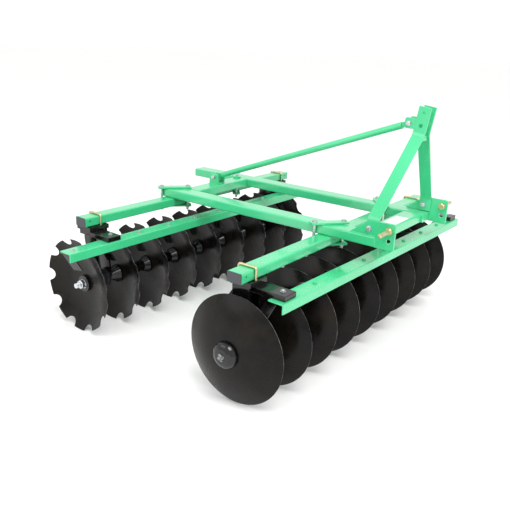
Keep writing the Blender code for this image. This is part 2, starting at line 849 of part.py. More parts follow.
def make_mast_leg(side):
    thick = mast_bar_thickness
    foot_x = plate_inner_x - seam
    head_x = mast_head_gap / 2 + thick
    outline = [
        (foot_x, mast_foot_bottom), (foot_x, mast_bend_z), (head_x, mast_head_bend_z), (head_x, mast_top),
        (head_x - thick, mast_top), (head_x - thick, mast_head_bend_z - mast_head_relief),
        (foot_x - thick, mast_bend_z - mast_foot_relief), (foot_x - thick, mast_foot_bottom),
    ]
    name = f"{side_name(side)}_mast_leg"
    blank = plate(name, [(side * x, z) for x, z in outline], mast_bar_width, paint_green)
    blank.matrix_world = Matrix(((1, 0, 0), (0, 0, -1), (0, 1, 0))).to_4x4()
    leg = baked(blank)
    leg.data.transform(leg.matrix_world)
    leg.matrix_world = Matrix.Identity(4)
    for vertex in leg.data.vertices:
        vertex.co.y += mast_middle_y(vertex.co.z)
    lug_front = mast_middle_y(lug_bolt_z) + mast_bar_width / 2 - lug_lap
    lug_rear = lug_front + lug_length
    lug_x = side * (mast_head_gap / 2 + thick / 2)
    lug_outline = [
        (lug_front, lug_bolt_z - lug_half_height), (lug_rear, lug_bolt_z - lug_half_height + lug_rise),
        (lug_rear, lug_bolt_z + lug_half_height + lug_rise), (lug_front, lug_bolt_z + lug_half_height),
    ]
    lug = plate(f"{name}_lug", lug_outline, lug_thickness, paint_green)
    lug.matrix_world = Matrix.Translation((lug_x, 0, 0)) @ upright
    join(leg, baked(lug))
    holes = (
        (mast_pin_hole_radius, lug_x, mast_middle_y(mast_pin_z), mast_pin_z),
        (mast_upper_hole_radius, lug_x, mast_middle_y(mast_upper_hole_z), mast_upper_hole_z),
        (brace_bolt_radius + pin_clearance, lug_x, lug_bolt_y(), lug_bolt_z),
        (mast_bolt_radius + pin_clearance, side * (foot_x - thick / 2), mast_bolt_y, mast_bolt_z),
    )
    for number, (radius, x, y, z) in enumerate(holes):
        cut(leg, across_hole(f"{name}_hole_{number}", radius, x, hole_reach, y, z))


def lug_bolt_y():
    return mast_middle_y(lug_bolt_z) + mast_bar_width / 2 + lug_length - lug_bolt_inset


def make_spacer():
    """A block between the legs just under their heads, as wide as they stand apart there."""
    top = mast_head_bend_z - spacer_drop
    inner_head, inner_foot = mast_head_gap / 2, plate_inner_x - seam - mast_bar_thickness
    inner_rise = (mast_head_bend_z - mast_head_relief) - (mast_bend_z - mast_foot_relief)
    spread = (inner_foot - inner_head) / inner_rise

    def half_width(z):
        return inner_head + spread * (mast_head_bend_z - mast_head_relief - z) - spacer_fit

    low = top - spacer_height
    outline = [(sign * half_width(z), z) for sign, z in ((-1, low), (1, low), (1, top), (-1, top))]
    spacer = plate("mast_spacer", outline, spacer_width, paint_green)
    facing_front = Matrix(((1, 0, 0), (0, 0, -1), (0, 1, 0))).to_4x4()
    spacer.matrix_world = Matrix.Translation((0.0, mast_middle_y((low + top) / 2), 0.0)) @ facing_front


def make_brace():
    """A round tube from the mast's lugs down to the bracket, with a flat tongue at each end."""
    upper = Vector((0.0, lug_bolt_y(), lug_bolt_z))
    lower = Vector((0.0, bracket_y, bracket_bolt_z))
    along = (lower - upper).normalized()
    reach = brace_tongue_length - brace_tongue_lap
    ends = upper + along * reach, lower - along * reach
    tube = cylinder("brace_tube", brace_radius, *ends, paint_green, sides=14)
    turn = along.to_track_quat("Y", "Z").to_matrix().to_4x4()
    for number, (eye, inward) in enumerate(((upper, along), (lower, -along))):
        middle = eye + inward * (brace_tongue_length / 2 - brace_eye_margin)
        size = (brace_tongue_thickness, brace_tongue_length, brace_tongue_height)
        join(tube, box(f"brace_tongue_{number}", size, middle, paint_green, turn))
    for number, eye in enumerate((upper, lower)):
        radius = brace_bolt_radius + pin_clearance
        cut(tube, across_hole(f"brace_hole_{number}", radius, 0.0, hole_reach, eye.y, eye.z))


def make_bolt_pin(name, y, z, half_length):
    """A cross bolt with a head on each end."""
    head, shank = brace_bolt_head_radius, brace_bolt_radius
    head_end, nut_end = half_length + brace_bolt_head, -half_length - brace_bolt_nut
    points = [
        (0.0, head_end), (head, head_end), (head, half_length), (shank, half_length),
        (shank, -half_length), (head, -half_length), (head, nut_end), (0.0, nut_end),
    ]
    bolt = turned(name, points, 8, zinc_bright, closed=False)
    bolt.matrix_world = Matrix.Translation((0.0, y, z)) @ Matrix.Rotation(pi / 2, 4, "Y")


def make_bracket():
    ear_x = mast_head_gap / 2 + bracket_ear_thickness / 2
    base_z = frame_top + seam + bracket_base_thickness / 2
    width = mast_head_gap + 2 * bracket_ear_thickness
    size = (width, bracket_length, bracket_base_thickness)
    bracket = box("brace_bracket", size, (0.0, bracket_y, base_z), paint_green)
    top = frame_top + bracket_ear_height
    size = (bracket_ear_thickness, bracket_length, top - base_z)
    for side in (-1, 1):
        centre = (side * ear_x, bracket_y, (top + base_z) / 2)
        join(bracket, box(f"bracket_ear_{side + 2}", size, centre, paint_green))
    radius = brace_bolt_radius + pin_clearance
    cut(bracket, across_hole("bracket_hole", radius, 0.0, width, bracket_y, bracket_bolt_z))
    make_bolt_pin("brace_rear_bolt", bracket_y, bracket_bolt_z, width / 2 + seam)
    half = mast_head_gap / 2 + mast_bar_thickness / 2 + lug_thickness / 2 + seam
    make_bolt_pin("brace_front_bolt", lug_bolt_y(), lug_bolt_z, half)


# --- Assembly -------------------------------------------------------------------------


def centre_on_floor():
    """Shifts the machine so that the origin lies on the floor under the middle of its box."""
    bpy.context.view_layer.update()
    graph = bpy.context.evaluated_depsgraph_get()
    shapes = [obj for obj in parts_collection.objects if obj.type in ("MESH", "CURVE")]
    corners = []
    for obj in shapes:
        mesh = obj.evaluated_get(graph).to_mesh()
        corners += [obj.matrix_world @ vertex.co for vertex in mesh.vertices]
        obj.evaluated_get(graph).to_mesh_clear()
    shift = Vector((0.0, 0.0, -min(c.z for c in corners)))
    for axis in (0, 1):
        shift[axis] = -(min(c[axis] for c in corners) + max(c[axis] for c in corners)) / 2
    movers = list(parts_collection.objects) + list(cutters_collection.objects)
    for obj in movers:
        if obj.parent is None:
            obj.matrix_world = Matrix.Translation(shift) @ obj.matrix_world
    print("shift from layout to part frame:", [round(value, 5) for value in shift])


clear_scene()
parts_collection, cutters_collection = make_collections()
paint_green = make_material("green_enamel", (0.045, 0.62, 0.24), 0.35)
steel_black = make_material("black_enamel", (0.012, 0.013, 0.016), 0.22)
cast_black = make_material("black_casting", (0.016, 0.017, 0.020), 0.30)
cap_charcoal = make_material("charcoal_cap", (0.045, 0.048, 0.055), 0.55)
zinc_yellow = make_material("yellow_zinc", (0.55, 0.42, 0.16), 0.35, 0.9)
zinc_bright = make_material("bright_zinc", (0.62, 0.64, 0.66), 0.35, 0.9)

rear_cross_member = make_frame()
patterns = {"front": plain_disc_mesh(), "rear": notched_disc_mesh()}
for each_gang in gangs:
    gang_axis = make_gang_empty(each_gang)
    make_discs(each_gang, gang_axis, patterns[each_gang.name])
    make_axle(each_gang, gang_axis)
    places = zip(each_gang.bearings, each_gang.u_bolts, each_gang.arms)
    for bearing_place, bolt_place, arm_place in places:
        make_bearing(each_gang, bearing_place)
        make_hanger(each_gang, bearing_place, bolt_place, arm_place)
        make_u_bolt(each_gang, bolt_place)
    make_scraper_bar(each_gang)
    make_gang_beam(each_gang)
    for hand in (-1, 1):
        make_clamp(each_gang, hand)
for pattern_disc in patterns.values():
    bpy.data.objects.remove(pattern_disc, do_unlink=True)
for hand in (-1, 1):
    make_hitch_plate(hand)
    make_link_pin(hand)
    make_mast_leg(hand)
make_spacer()
make_brace()
make_bracket()
centre_on_floor()
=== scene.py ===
# %% [markdown]
# # A mounted disc harrow
#
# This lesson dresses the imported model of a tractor-mounted disc harrow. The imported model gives
# the sizes and the moving bodies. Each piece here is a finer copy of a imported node, built in the
# same place, so that the machine keeps its size and its gangs still turn on their axles. Small
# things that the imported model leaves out, such as welds, threads and the mast's foot bolts, are
# joined to the piece that they belong to.
#
# Everything is in metres with +Z up. The tractor stands towards -Y, and -X is the machine's right.

from math import atan2, cos, hypot, pi, radians, sin, tau

import bmesh
import bpy
from mathutils import Matrix, Vector
from mathutils.geometry import tessellate_polygon


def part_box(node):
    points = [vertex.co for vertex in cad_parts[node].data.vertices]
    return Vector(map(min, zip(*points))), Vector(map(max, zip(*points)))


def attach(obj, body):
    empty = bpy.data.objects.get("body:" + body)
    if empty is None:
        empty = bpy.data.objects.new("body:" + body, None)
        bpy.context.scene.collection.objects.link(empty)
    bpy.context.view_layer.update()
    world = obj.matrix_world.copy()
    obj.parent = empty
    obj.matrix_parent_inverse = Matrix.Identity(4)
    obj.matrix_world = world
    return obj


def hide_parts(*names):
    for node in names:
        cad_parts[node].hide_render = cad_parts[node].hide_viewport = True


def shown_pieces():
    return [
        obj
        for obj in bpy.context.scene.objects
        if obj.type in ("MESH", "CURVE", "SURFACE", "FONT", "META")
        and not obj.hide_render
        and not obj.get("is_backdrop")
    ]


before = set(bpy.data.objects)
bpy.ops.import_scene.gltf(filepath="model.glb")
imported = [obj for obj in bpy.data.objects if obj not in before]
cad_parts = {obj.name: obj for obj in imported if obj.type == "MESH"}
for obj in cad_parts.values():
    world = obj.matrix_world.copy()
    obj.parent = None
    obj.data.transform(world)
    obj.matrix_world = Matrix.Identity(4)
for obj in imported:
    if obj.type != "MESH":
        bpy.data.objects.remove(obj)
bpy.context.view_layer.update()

# %% [markdown]
# ## One reference point
#
# The frame was laid out from the middle of the front cross member's front face, on the floor.
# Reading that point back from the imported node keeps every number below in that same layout, and
# each finished piece is moved by it once.

# %% The layout's origin
cross_low, cross_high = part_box("front_cross_member")
layout_origin = Vector(((cross_low.x + cross_high.x) / 2, cross_low.y, 0.0))
print("layout origin:", [round(c, 4) for c in layout_origin])

# %% [markdown]
# ## Two helpers for materials
#
# Colours are picked as sRGB hex values, the way a paint card gives them, and the shader wants
# linear values, so one function converts them. The other function adds any shader node with its
# settings and its links, which keeps each material below down to a few readable lines.

# %% Material helpers


def linear(hex_colour):
    """A linear RGBA colour from an sRGB hex value."""
    channels = [int(hex_colour[i:i + 2], 16) / 255 for i in (1, 3, 5)]
    return [c / 12.92 if c <= 0.04045 else ((c + 0.055) / 1.055) ** 2.4 for c in channels] + [1.0]


def add_node(tree, kind, inputs=None, **settings):
    """Adds a node; an input that is given a socket is linked, and any other is set."""
    node = tree.nodes.new(kind)
    for name, value in settings.items():
        setattr(node, name, value)
    for name, value in (inputs or {}).items():
        if isinstance(value, bpy.types.NodeSocket):
            tree.links.new(value, node.inputs[name])
        else:
            node.inputs[name].default_value = value
    return node


def start_material(name):
    """An empty material with its node tree, ready for add_node."""
    material = bpy.data.materials.new(name)
    material.use_nodes = True
    material.node_tree.nodes.clear()
    return material, material.node_tree


def finish_material(material, tree, inputs):
    """Adds the shader and the output, and returns the material."""
    shader = add_node(tree, "ShaderNodeBsdfPrincipled", inputs)
    add_node(tree, "ShaderNodeOutputMaterial", {"Surface": shader.outputs["BSDF"]})
    return material


def noise_ramp(tree, scale, detail, stops, roughness=0.55):
    """Noise in object space, read through a colour ramp of (place, colour) stops."""
    place = add_node(tree, "ShaderNodeTexCoord").outputs["Object"]
    noise = add_node(tree, "ShaderNodeTexNoise", {
        "Vector": place, "Scale": scale, "Detail": detail, "Roughness": roughness})
    ramp = add_node(tree, "ShaderNodeValToRGB", {"Fac": noise.outputs["Fac"]})
    elements = ramp.color_ramp.elements
    while len(elements) < len(stops):
        elements.new(0.5)
    for element, (position, colour) in zip(elements, stops):
        element.position = position
        element.color = colour
    return noise, ramp


def grey(value):
    """A linear grey, for a ramp that gives a number."""
    return (value, value, value, 1.0)


print("a mid grey in linear values:", [round(c, 3) for c in linear("#808080")])

# %% [markdown]
# ## Green enamel
#
# Farm machines are sprayed with an alkyd enamel over a primer. It dries to a smooth gloss with a
# faint orange peel, the shallow ripple that a spray gun leaves. Real ripples are about 2 mm apart;
# here they are drawn 8 mm apart so that they still show. The colour is a light mint green, almost
# even, with slightly darker patches where the coat is thicker.

# %% Green enamel


def make_green_enamel():
    material, tree = start_material("green_alkyd_enamel")
    thick_coat, thin_coat = linear("#38bd7f"), linear("#43c68a")
    _, coat_colour = noise_ramp(tree, 3.0, 3.0, [(0.35, thick_coat), (0.65, thin_coat)])
    ripples_per_metre = 125.0
    ripple, gloss = noise_ramp(tree, ripples_per_metre, 1.0, [(0.3, grey(0.20)), (0.7, grey(0.28))])
    bump = add_node(tree, "ShaderNodeBump", {
        "Height": ripple.outputs["Fac"], "Strength": 0.02, "Distance": 0.001})
    return finish_material(material, tree, {
        "Base Color": coat_colour.outputs["Color"], "Roughness": gloss.outputs["Color"],
        "Normal": bump.outputs["Normal"], "IOR": 1.52, "Coat Weight": 0.6, "Coat Roughness": 0.08})


green_enamel = make_green_enamel()
print("made", green_enamel.name)

# %% [markdown]
# ## Black enamel
#
# Discs, axles and hangers are dipped or sprayed black. The coat on the discs is thin and glossy,
# with a film of dust that dulls it in soft patches and turns it slightly brown. A broad noise mixes
# the clean and the dusty black and makes the dusty part rougher. A fine noise adds the grain of
# settled dust, drawn about 3 mm across so that it shows. The hangers and spools are cleaner and
# glossier than the discs, so the same recipe is used twice. Dust also mirrors less than clean
# enamel does, so the discs have a lower IOR than the 1.5 that enamel usually has.

# %% Black enamel


def make_black_enamel(name, dust_colour, grain_share, roughness, ior):
    """Black enamel under dust; roughness is the clean and the dusty value."""
    material, tree = start_material(name)
    clean, settled = linear("#050506"), linear("#3a342c")
    dust, film = noise_ramp(tree, 7.0, 6.0, [(0.36, clean), (0.72, linear(dust_colour))], 0.6)
    grains_per_metre = 330.0
    _, grain = noise_ramp(tree, grains_per_metre, 3.0, [(0.52, clean), (0.78, settled)], 0.7)
    colour = add_node(tree, "ShaderNodeMixRGB", {
        "Fac": grain_share, "Color1": film.outputs["Color"], "Color2": grain.outputs["Color"]})
    gloss = add_node(tree, "ShaderNodeMapRange", {
        "Value": dust.outputs["Fac"], "From Min": 0.35, "From Max": 0.7,
        "To Min": roughness[0], "To Max": roughness[1]})
    bump = add_node(tree, "ShaderNodeBump", {
        "Height": grain.outputs["Color"], "Strength": 0.04, "Distance": 0.001})
    return finish_material(material, tree, {
        "Base Color": colour.outputs["Color"], "Roughness": gloss.outputs["Result"],
        "Normal": bump.outputs["Normal"], "IOR": ior})


black_enamel = make_black_enamel("black_gloss_enamel", "#121110", 0.15, (0.10, 0.24), 1.5)
disc_enamel = make_black_enamel("dusty_black_disc_enamel", "#231e17", 0.35, (0.16, 0.42), 1.26)
print("made", black_enamel.name, "and", disc_enamel.name)

# %% [markdown]
# ## Bare steel, castings, zinc and plastic
#
# The discs' edges are ground after painting, so a thin line of bare steel shows there, broken
# where paint is left on it. The bearing housings are black painted castings, rough from the sand
# mould. Bolts are plated with bright zinc, and U-bolts and link pins with yellow passivated zinc,
# whose thin film gives a pale straw colour. The beam ends are closed with moulded plastic. The
# square heads of the axle bolts are enamel that spanners have worn to steel.

# %% The smaller materials


def make_plain_material(name, scale, colours, roughness, metallic, ripple=0.0):
    """A material with two shades in soft patches, a roughness range and a faint bump."""
    material, tree = start_material(name)
    dark, light = (linear(colour) for colour in colours)
    patches, colour = noise_ramp(tree, scale, 4.0, [(0.35, dark), (0.68, light)])
    gloss = add_node(tree, "ShaderNodeMapRange", {
        "Value": patches.outputs["Fac"], "From Min": 0.3, "From Max": 0.7,
        "To Min": roughness[0], "To Max": roughness[1]})
    inputs = {"Base Color": colour.outputs["Color"], "Roughness": gloss.outputs["Result"],
              "Metallic": metallic}
    if ripple:
        bump = add_node(tree, "ShaderNodeBump", {
            "Height": patches.outputs["Fac"], "Strength": ripple, "Distance": 0.001})
        inputs["Normal"] = bump.outputs["Normal"]
    return finish_material(material, tree, inputs)


ground_steel = make_plain_material(
    "ground_steel_edge", 32.0, ("#101012", "#8e9092"), (0.40, 0.55), 0.9)
black_casting = make_plain_material(
    "painted_sand_casting", 260.0, ("#101114", "#1d1e21"), (0.30, 0.5), 0.0, 0.35)
bright_zinc = make_plain_material(
    "bright_zinc_plate", 90.0, ("#b9bcc0", "#e4e6e8"), (0.24, 0.36), 1.0)
yellow_zinc = make_plain_material(
    "yellow_zinc_plate", 70.0, ("#c9bb8c", "#dccfae"), (0.28, 0.40), 1.0)
charcoal_plastic = make_plain_material(
    "moulded_charcoal_plastic", 400.0, ("#3b3d42", "#45474d"), (0.5, 0.6), 0.0, 0.08)
label_vinyl = make_plain_material(
    "blank_vinyl_label", 30.0, ("#e9ebea", "#f4f5f4"), (0.35, 0.45), 0.0)
worn_black = make_plain_material(
    "black_enamel_worn_to_steel", 160.0, ("#1c1d1f", "#a4a6a9"), (0.3, 0.42), 0.7)
print("materials:", len(bpy.data.materials))

# %% [markdown]
# ## Shapes as meshes
#
# Each helper returns a plain mesh that already has its place and material, so that a piece is
# just a list of meshes joined at the end. A closed shell gets its normals recalculated once, which
# turns its faces outwards however it was built. Flats are boxes with softened edges, and castings
# and pins are turned from a profile, as they are on a lathe.

# %% Boxes and turned shapes


def mesh_of(name, bm, material, place=None, merge=0.0):
    """A mesh from bmesh, with its place applied and its faces turned outwards."""
    if merge:
        bmesh.ops.remove_doubles(bm, verts=bm.verts, dist=merge)
    bmesh.ops.recalc_face_normals(bm, faces=bm.faces)
    if place is not None:
        bm.transform(place)
        if place.determinant() < 0:
            bmesh.ops.reverse_faces(bm, faces=bm.faces)
    mesh = bpy.data.meshes.new(name)
    bm.to_mesh(mesh)
    bm.free()
    mesh.materials.append(material)
    return mesh


def block(size, material, place, edge, rounds=2):
    """A box with softened edges."""
    bm = bmesh.new()
    bmesh.ops.create_cube(bm, size=1.0, matrix=Matrix.Diagonal((*size, 1.0)))
    bmesh.ops.bevel(bm, geom=bm.edges, offset=edge, segments=rounds, profile=0.5, affect="EDGES")
    return mesh_of("block", bm, material, place)


def lathe(profile, sides, material, place):
    """A turned shape about local Z from (radius, height) points.

    Both ends lie on the axis, or the profile is closed.
    """
    bm = bmesh.new()
    rings = []
    for radius, height in profile:
        if radius < 1e-6:
            rings.append([bm.verts.new((0.0, 0.0, height))])
        else:
            turns = [tau * i / sides for i in range(sides)]
            rings.append([bm.verts.new((radius * cos(t), radius * sin(t), height)) for t in turns])
    closed = len(rings[0]) > 1
    for k in range(len(rings) if closed else len(rings) - 1):
        a, b = rings[k], rings[(k + 1) % len(rings)]
        for i in range(sides):
            j = (i + 1) % sides
            corners = [a[i % len(a)], a[j % len(a)], b[j % len(b)], b[i % len(b)]]
            face = list(dict.fromkeys(corners))
            if len(face) > 2:
                bm.faces.new(face)
    return mesh_of("lathe", bm, material, place)


print("a box and a lathe are ready")

# %% [markdown]
# ## Outlines and plates
#
# Most of the frame is cut from flat plate or sawn from tube. Both are an outline pushed through a
# thickness, with rounded corners, round holes and broken edges, so one helper makes them all. The
# edge is broken by drawing the outline in a little at each face.

# %% Outlines


def rectangle(width, height):
    """A rectangle's outline about its middle."""
    a, b = width / 2, height / 2
    return [(-a, -b), (a, -b), (a, b), (-a, b)]


def rounded(outline, radius, steps=4):
    """The outline with its corners rounded where they have room; radius may be one per corner."""
    radii = radius if isinstance(radius, (list, tuple)) else [radius] * len(outline)
    points = []
    for k, corner in enumerate(outline):
        here = Vector(corner)
        before = Vector(outline[k - 1]) - here
        after = Vector(outline[(k + 1) % len(outline)]) - here
        turn = before.angle(after)
        straight = turn >= pi - 1e-4
        steepness = 1e6 if straight else max(1e-6, sin(turn / 2) / cos(turn / 2))
        tangent = min(radii[k] / steepness, before.length * 0.49, after.length * 0.49)
        if tangent < 1e-5:
            points.append(here)
            continue
        start, end = here + before.normalized() * tangent, here + after.normalized() * tangent
        for i in range(steps + 1):
            t = i / steps
            points.append((1 - t) ** 2 * start + 2 * t * (1 - t) * here + t * t * end)
    return points


def circle(x, y, radius, sides):
    """The points of a circle."""
    turns = [tau * i / sides for i in range(sides)]
    return [Vector((x + radius * cos(t), y + radius * sin(t))) for t in turns]


def turned_way(loop, counterclockwise):
    """The loop's points in the order that runs the wanted way round."""
    area = sum(a.x * b.y - b.x * a.y for a, b in zip(loop, loop[1:] + loop[:1]))
    return list(loop) if (area > 0) == counterclockwise else list(reversed(loop))


def drawn_in(loop, distance):
    """The loop moved sideways into the material, which lies on its left."""
    moved = []
    for k, point in enumerate(loop):
        a = (point - loop[k - 1]).normalized()
        b = (loop[(k + 1) % len(loop)] - point).normalized()
        normal = (Vector((-a.y, a.x)) + Vector((-b.y, b.x))).normalized()
        share = max(0.35, normal.dot(Vector((-a.y, a.x))))
        moved.append(point + normal * distance / share)
    return moved


print("points of a rounded square:", len(rounded(rectangle(1.0, 1.0), 0.1)))

# %% Plates


def slab(outline, thickness, material, place, holes=(), corner=0.0, edge=0.001):
    """A flat plate in local XY with through holes and broken edges; thickness is centred on it."""
    loops = [turned_way([Vector(p) for p in (rounded(outline, corner) if corner else outline)], True)]
    loops += [turned_way(circle(*hole), False) for hole in holes]
    bm = bmesh.new()
    half = thickness / 2
    levels = [(half, edge), (half - edge, 0.0), (-half + edge, 0.0), (-half, edge)]
    rings = []
    for z, inset in levels:
        rings.append([[bm.verts.new((p.x, p.y, z)) for p in drawn_in(loop, inset)] for loop in loops])
    for upper, lower in zip(rings, rings[1:]):
        for a, b in zip(upper, lower):
            for i in range(len(a)):
                j = (i + 1) % len(a)
                bm.faces.new((a[i], b[i], b[j], a[j]))
    flat = [v for ring in rings[0] for v in ring]
    low_flat = [v for ring in rings[-1] for v in ring]
    triangles = tessellate_polygon([[v.co for v in ring] for ring in rings[0]])
    for a, b, c in triangles:
        if len({a, b, c}) == 3:
            bm.faces.new((flat[a], flat[b], flat[c]))
            bm.faces.new((low_flat[c], low_flat[b], low_flat[a]))
    return mesh_of("slab", bm, material, place)


print("plates are ready")

# %% [markdown]
# ## Bars and drilled holes
#
# A U-bolt is a round bar with two bends, and a mast leg or a scraper blade is a flat bar with one
# or two. Both follow a line whose corners are rounded. Cross holes are drilled as in a workshop, by
# taking a cylinder away. An object has to be in the scene for Blender to work out its modifiers, so
# two small helpers put it there and read the result back as a plain mesh.

# %% Bars


def in_scene(name, data):
    """A new object at the scene's origin."""
    obj = bpy.data.objects.new(name, data)
    bpy.context.scene.collection.objects.link(obj)
    return obj


def evaluated_mesh(obj):
    """A plain mesh of what an object's curve or modifiers come to."""
    bpy.context.view_layer.update()
    evaluated = obj.evaluated_get(bpy.context.evaluated_depsgraph_get())
    return bpy.data.meshes.new_from_object(evaluated)


def line_curve(points):
    """A straight-sided curve through points."""
    curve = bpy.data.curves.new("line", "CURVE")
    curve.dimensions = "3D"
    spline = curve.splines.new("POLY")
    spline.points.add(len(points) - 1)
    for point, place_at in zip(spline.points, points):
        point.co = (*place_at, 1.0)
    return curve


def bent(points, radius, steps=5):
    """Points along a line whose inner corners are rounded."""
    line = [Vector(points[0])]
    for before, here, after in zip(points, points[1:], points[2:]):
        here = Vector(here)
        back, on = (Vector(before) - here).normalized(), (Vector(after) - here).normalized()
        start, end = here + back * radius, here + on * radius
        for i in range(steps + 1):
            t = i / steps
            line.append((1 - t) ** 2 * start + 2 * t * (1 - t) * here + t * t * end)
    return line + [Vector(points[-1])]


def rod(points, radius, material):
    """A round bar bent along points."""
    curve = line_curve(points)
    curve.bevel_depth = radius
    curve.bevel_resolution = 4
    curve.use_fill_caps = True
    holder = in_scene("rod", curve)
    made = evaluated_mesh(holder)
    bpy.data.objects.remove(holder)
    bpy.data.curves.remove(curve)
    bm = bmesh.new()
    bm.from_mesh(made)
    bpy.data.meshes.remove(made)
    return mesh_of("rod", bm, material, merge=1e-5)


def strip(stations, width, thickness, material):
    """A flat bar bent along (point, across) stations, with broken edges."""
    bm = bmesh.new()
    a, b, edge = width / 2, thickness / 2, 0.001
    corners = [(a, b - edge), (a - edge, b), (edge - a, b), (-a, b - edge),
               (-a, edge - b), (edge - a, -b), (a - edge, -b), (a, edge - b)]
    rings = []
    for k, (point, across) in enumerate(stations):
        before = stations[max(0, k - 1)][0]
        after = stations[min(len(stations) - 1, k + 1)][0]
        along = (after - before).normalized()
        normal = along.cross(across).normalized()
        side = normal.cross(along).normalized()
        rings.append([bm.verts.new(point + side * u + normal * v) for u, v in corners])
    for one, two in zip(rings, rings[1:]):
        for i in range(8):
            j = (i + 1) % 8
            bm.faces.new((one[i], one[j], two[j], two[i]))
    bm.faces.new(rings[0])
    bm.faces.new(list(reversed(rings[-1])))
    return mesh_of("strip", bm, material)


print("round and flat bars are ready")

# %% Drilled holes


def drill(mesh, drills):
    """Cuts round holes through a mesh; each is (start, end, radius) in the layout."""
    target = in_scene("drilled", mesh)
    tools = []
    for start, end, radius in drills:
        bm = bmesh.new()
        turn = (end - start).to_track_quat("Z", "X").to_matrix().to_4x4()
        middle = Matrix.Translation((start + end) / 2)
        bmesh.ops.create_cone(bm, cap_ends=True, segments=24, radius1=radius, radius2=radius,
                              depth=(end - start).length, matrix=middle @ turn)
        cutter = bpy.data.meshes.new("drill")
        bm.to_mesh(cutter)
        bm.free()
        tool = in_scene("drill", cutter)
        tools.append(tool)
        modifier = target.modifiers.new("hole", "BOOLEAN")
        modifier.operation, modifier.solver, modifier.object = "DIFFERENCE", "EXACT", tool
    made = evaluated_mesh(target)
    for used in [target] + tools:
        bpy.data.objects.remove(used)
    return made


print("the drill is ready")

# %% [markdown]
# ## Finished pieces
#
# A piece joins its meshes, moves them to the imported model's frame, and says which body it rides on
# and which imported nodes it stands for. Edges sharper than 32 degrees are kept sharp, and the
# normals are weighted by area, so that a wide flat face stays flat beside the rounding at its edge.

# %% Finished pieces
sharp_angle = radians(32)


def with_flat_faces(data):
    """The same mesh with area-weighted normals, so wide faces stay flat beside rounded corners."""
    holder = in_scene("weighted", data)
    modifier = holder.modifiers.new("weighted", "WEIGHTED_NORMAL")
    modifier.keep_sharp = True
    made = evaluated_mesh(holder)
    holder.modifiers.remove(modifier)
    bpy.data.objects.remove(holder)
    bpy.data.meshes.remove(data)
    return made


def piece(name, body, meshes, stands_for):
    """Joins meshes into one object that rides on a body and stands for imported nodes."""
    joined = bmesh.new()
    materials = []
    for mesh in meshes:
        done = len(joined.faces)
        joined.from_mesh(mesh)
        joined.faces.ensure_lookup_table()
        for material in mesh.materials:
            if material not in materials:
                materials.append(material)
        for face in joined.faces[done:]:
            face.material_index = materials.index(mesh.materials[face.material_index])
    joined.transform(Matrix.Translation(layout_origin))
    data = bpy.data.meshes.new(name)
    joined.to_mesh(data)
    joined.free()
    for material in materials:
        data.materials.append(material)
    data.shade_smooth()
    data.set_sharp_from_angle(angle=sharp_angle)
    data = with_flat_faces(data)
    data.name = name
    for mesh in set(meshes):
        if mesh.users == 0:
            bpy.data.meshes.remove(mesh)
    obj = in_scene(name, data)
    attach(obj, body)
    if stands_for:
        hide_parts(*stands_for)
    return obj


print("edges stay sharp from", round(sharp_angle, 3), "radians")

# %% [markdown]
# ## Standing outlines up
#
# An outline is drawn flat, and these two turn it so that the plate's thickness, or the tube's
# length, runs across the machine or along it.

# %% Standing outlines up


def along_x(point, yaw=0.0):
    """Stands an outline of (rearward, up) points up, with its thickness along X."""
    stand = Matrix(((0, 0, 1), (1, 0, 0), (0, 1, 0))).to_4x4()
    return Matrix.Translation(point) @ Matrix.Rotation(yaw, 4, "Z") @ stand


def along_y(point):
    """Stands an outline of (leftward, up) points up, with its thickness along Y."""
    return Matrix.Translation(point) @ Matrix(((1, 0, 0), (0, 0, -1), (0, 1, 0))).to_4x4()


print("up stays up:", along_x((0, 0, 0)) @ Vector((0, 1, 0)))

# %% [markdown]
# ## Geometry Nodes trees
#
# Three things repeat all over the machine: hexagon bolts on their washers, screw threads, and the
# overlapping puddles of a weld bead. Each is a small node tree with named inputs for its sizes.
# A tree's result is turned into a plain mesh at once, because an exported model keeps no
# modifiers and no instances.

# %% Node tree helpers


def start_tree(name, inputs):
    """A Geometry Nodes tree with a geometry input and the named inputs: (name, kind, value)."""
    tree = bpy.data.node_groups.new(name, "GeometryNodeTree")
    tree.interface.new_socket("Geometry", in_out="INPUT", socket_type="NodeSocketGeometry")
    for label, kind, value in inputs:
        socket = tree.interface.new_socket(label, in_out="INPUT", socket_type="NodeSocket" + kind)
        if value is not None:
            socket.default_value = value
    tree.interface.new_socket("Geometry", in_out="OUTPUT", socket_type="NodeSocketGeometry")
    return tree, add_node(tree, "NodeGroupInput").outputs


def end_tree(tree, geometry, material):
    """Realizes the instances, sets the material and closes the tree."""
    real = add_node(tree, "GeometryNodeRealizeInstances", {"Geometry": geometry})
    painted = add_node(tree, "GeometryNodeSetMaterial", {
        "Geometry": real.outputs["Geometry"], "Material": material})
    add_node(tree, "NodeGroupOutput", {"Geometry": painted.outputs["Geometry"]})
    return tree


def grown(tree, data, values):
    """The mesh that a tree grows on some data, with the values set by each input's identifier."""
    holder = in_scene(tree.name, data)
    modifier = holder.modifiers.new(tree.name, "NODES")
    modifier.node_group = tree
    identifiers = {item.name: item.identifier for item in tree.interface.items_tree
                   if item.item_type == "SOCKET" and item.in_out == "INPUT"}
    for label, value in values.items():
        modifier[identifiers[label]] = value
    made = evaluated_mesh(holder)
    holder.modifiers.remove(modifier)
    bpy.data.objects.remove(holder)
    return made


print("node trees so far:", len(bpy.data.node_groups))

# %% [markdown]
# ### Hexagon bolts
#
# A bolt here is a washer, a hexagon prism and a short chamfered crown, with a tail past a nut
# where there is one. The tree puts one on each point of a mesh and aims it along the point's own
# "axis" attribute, so one call dresses a whole piece.

# %% The bolt tree


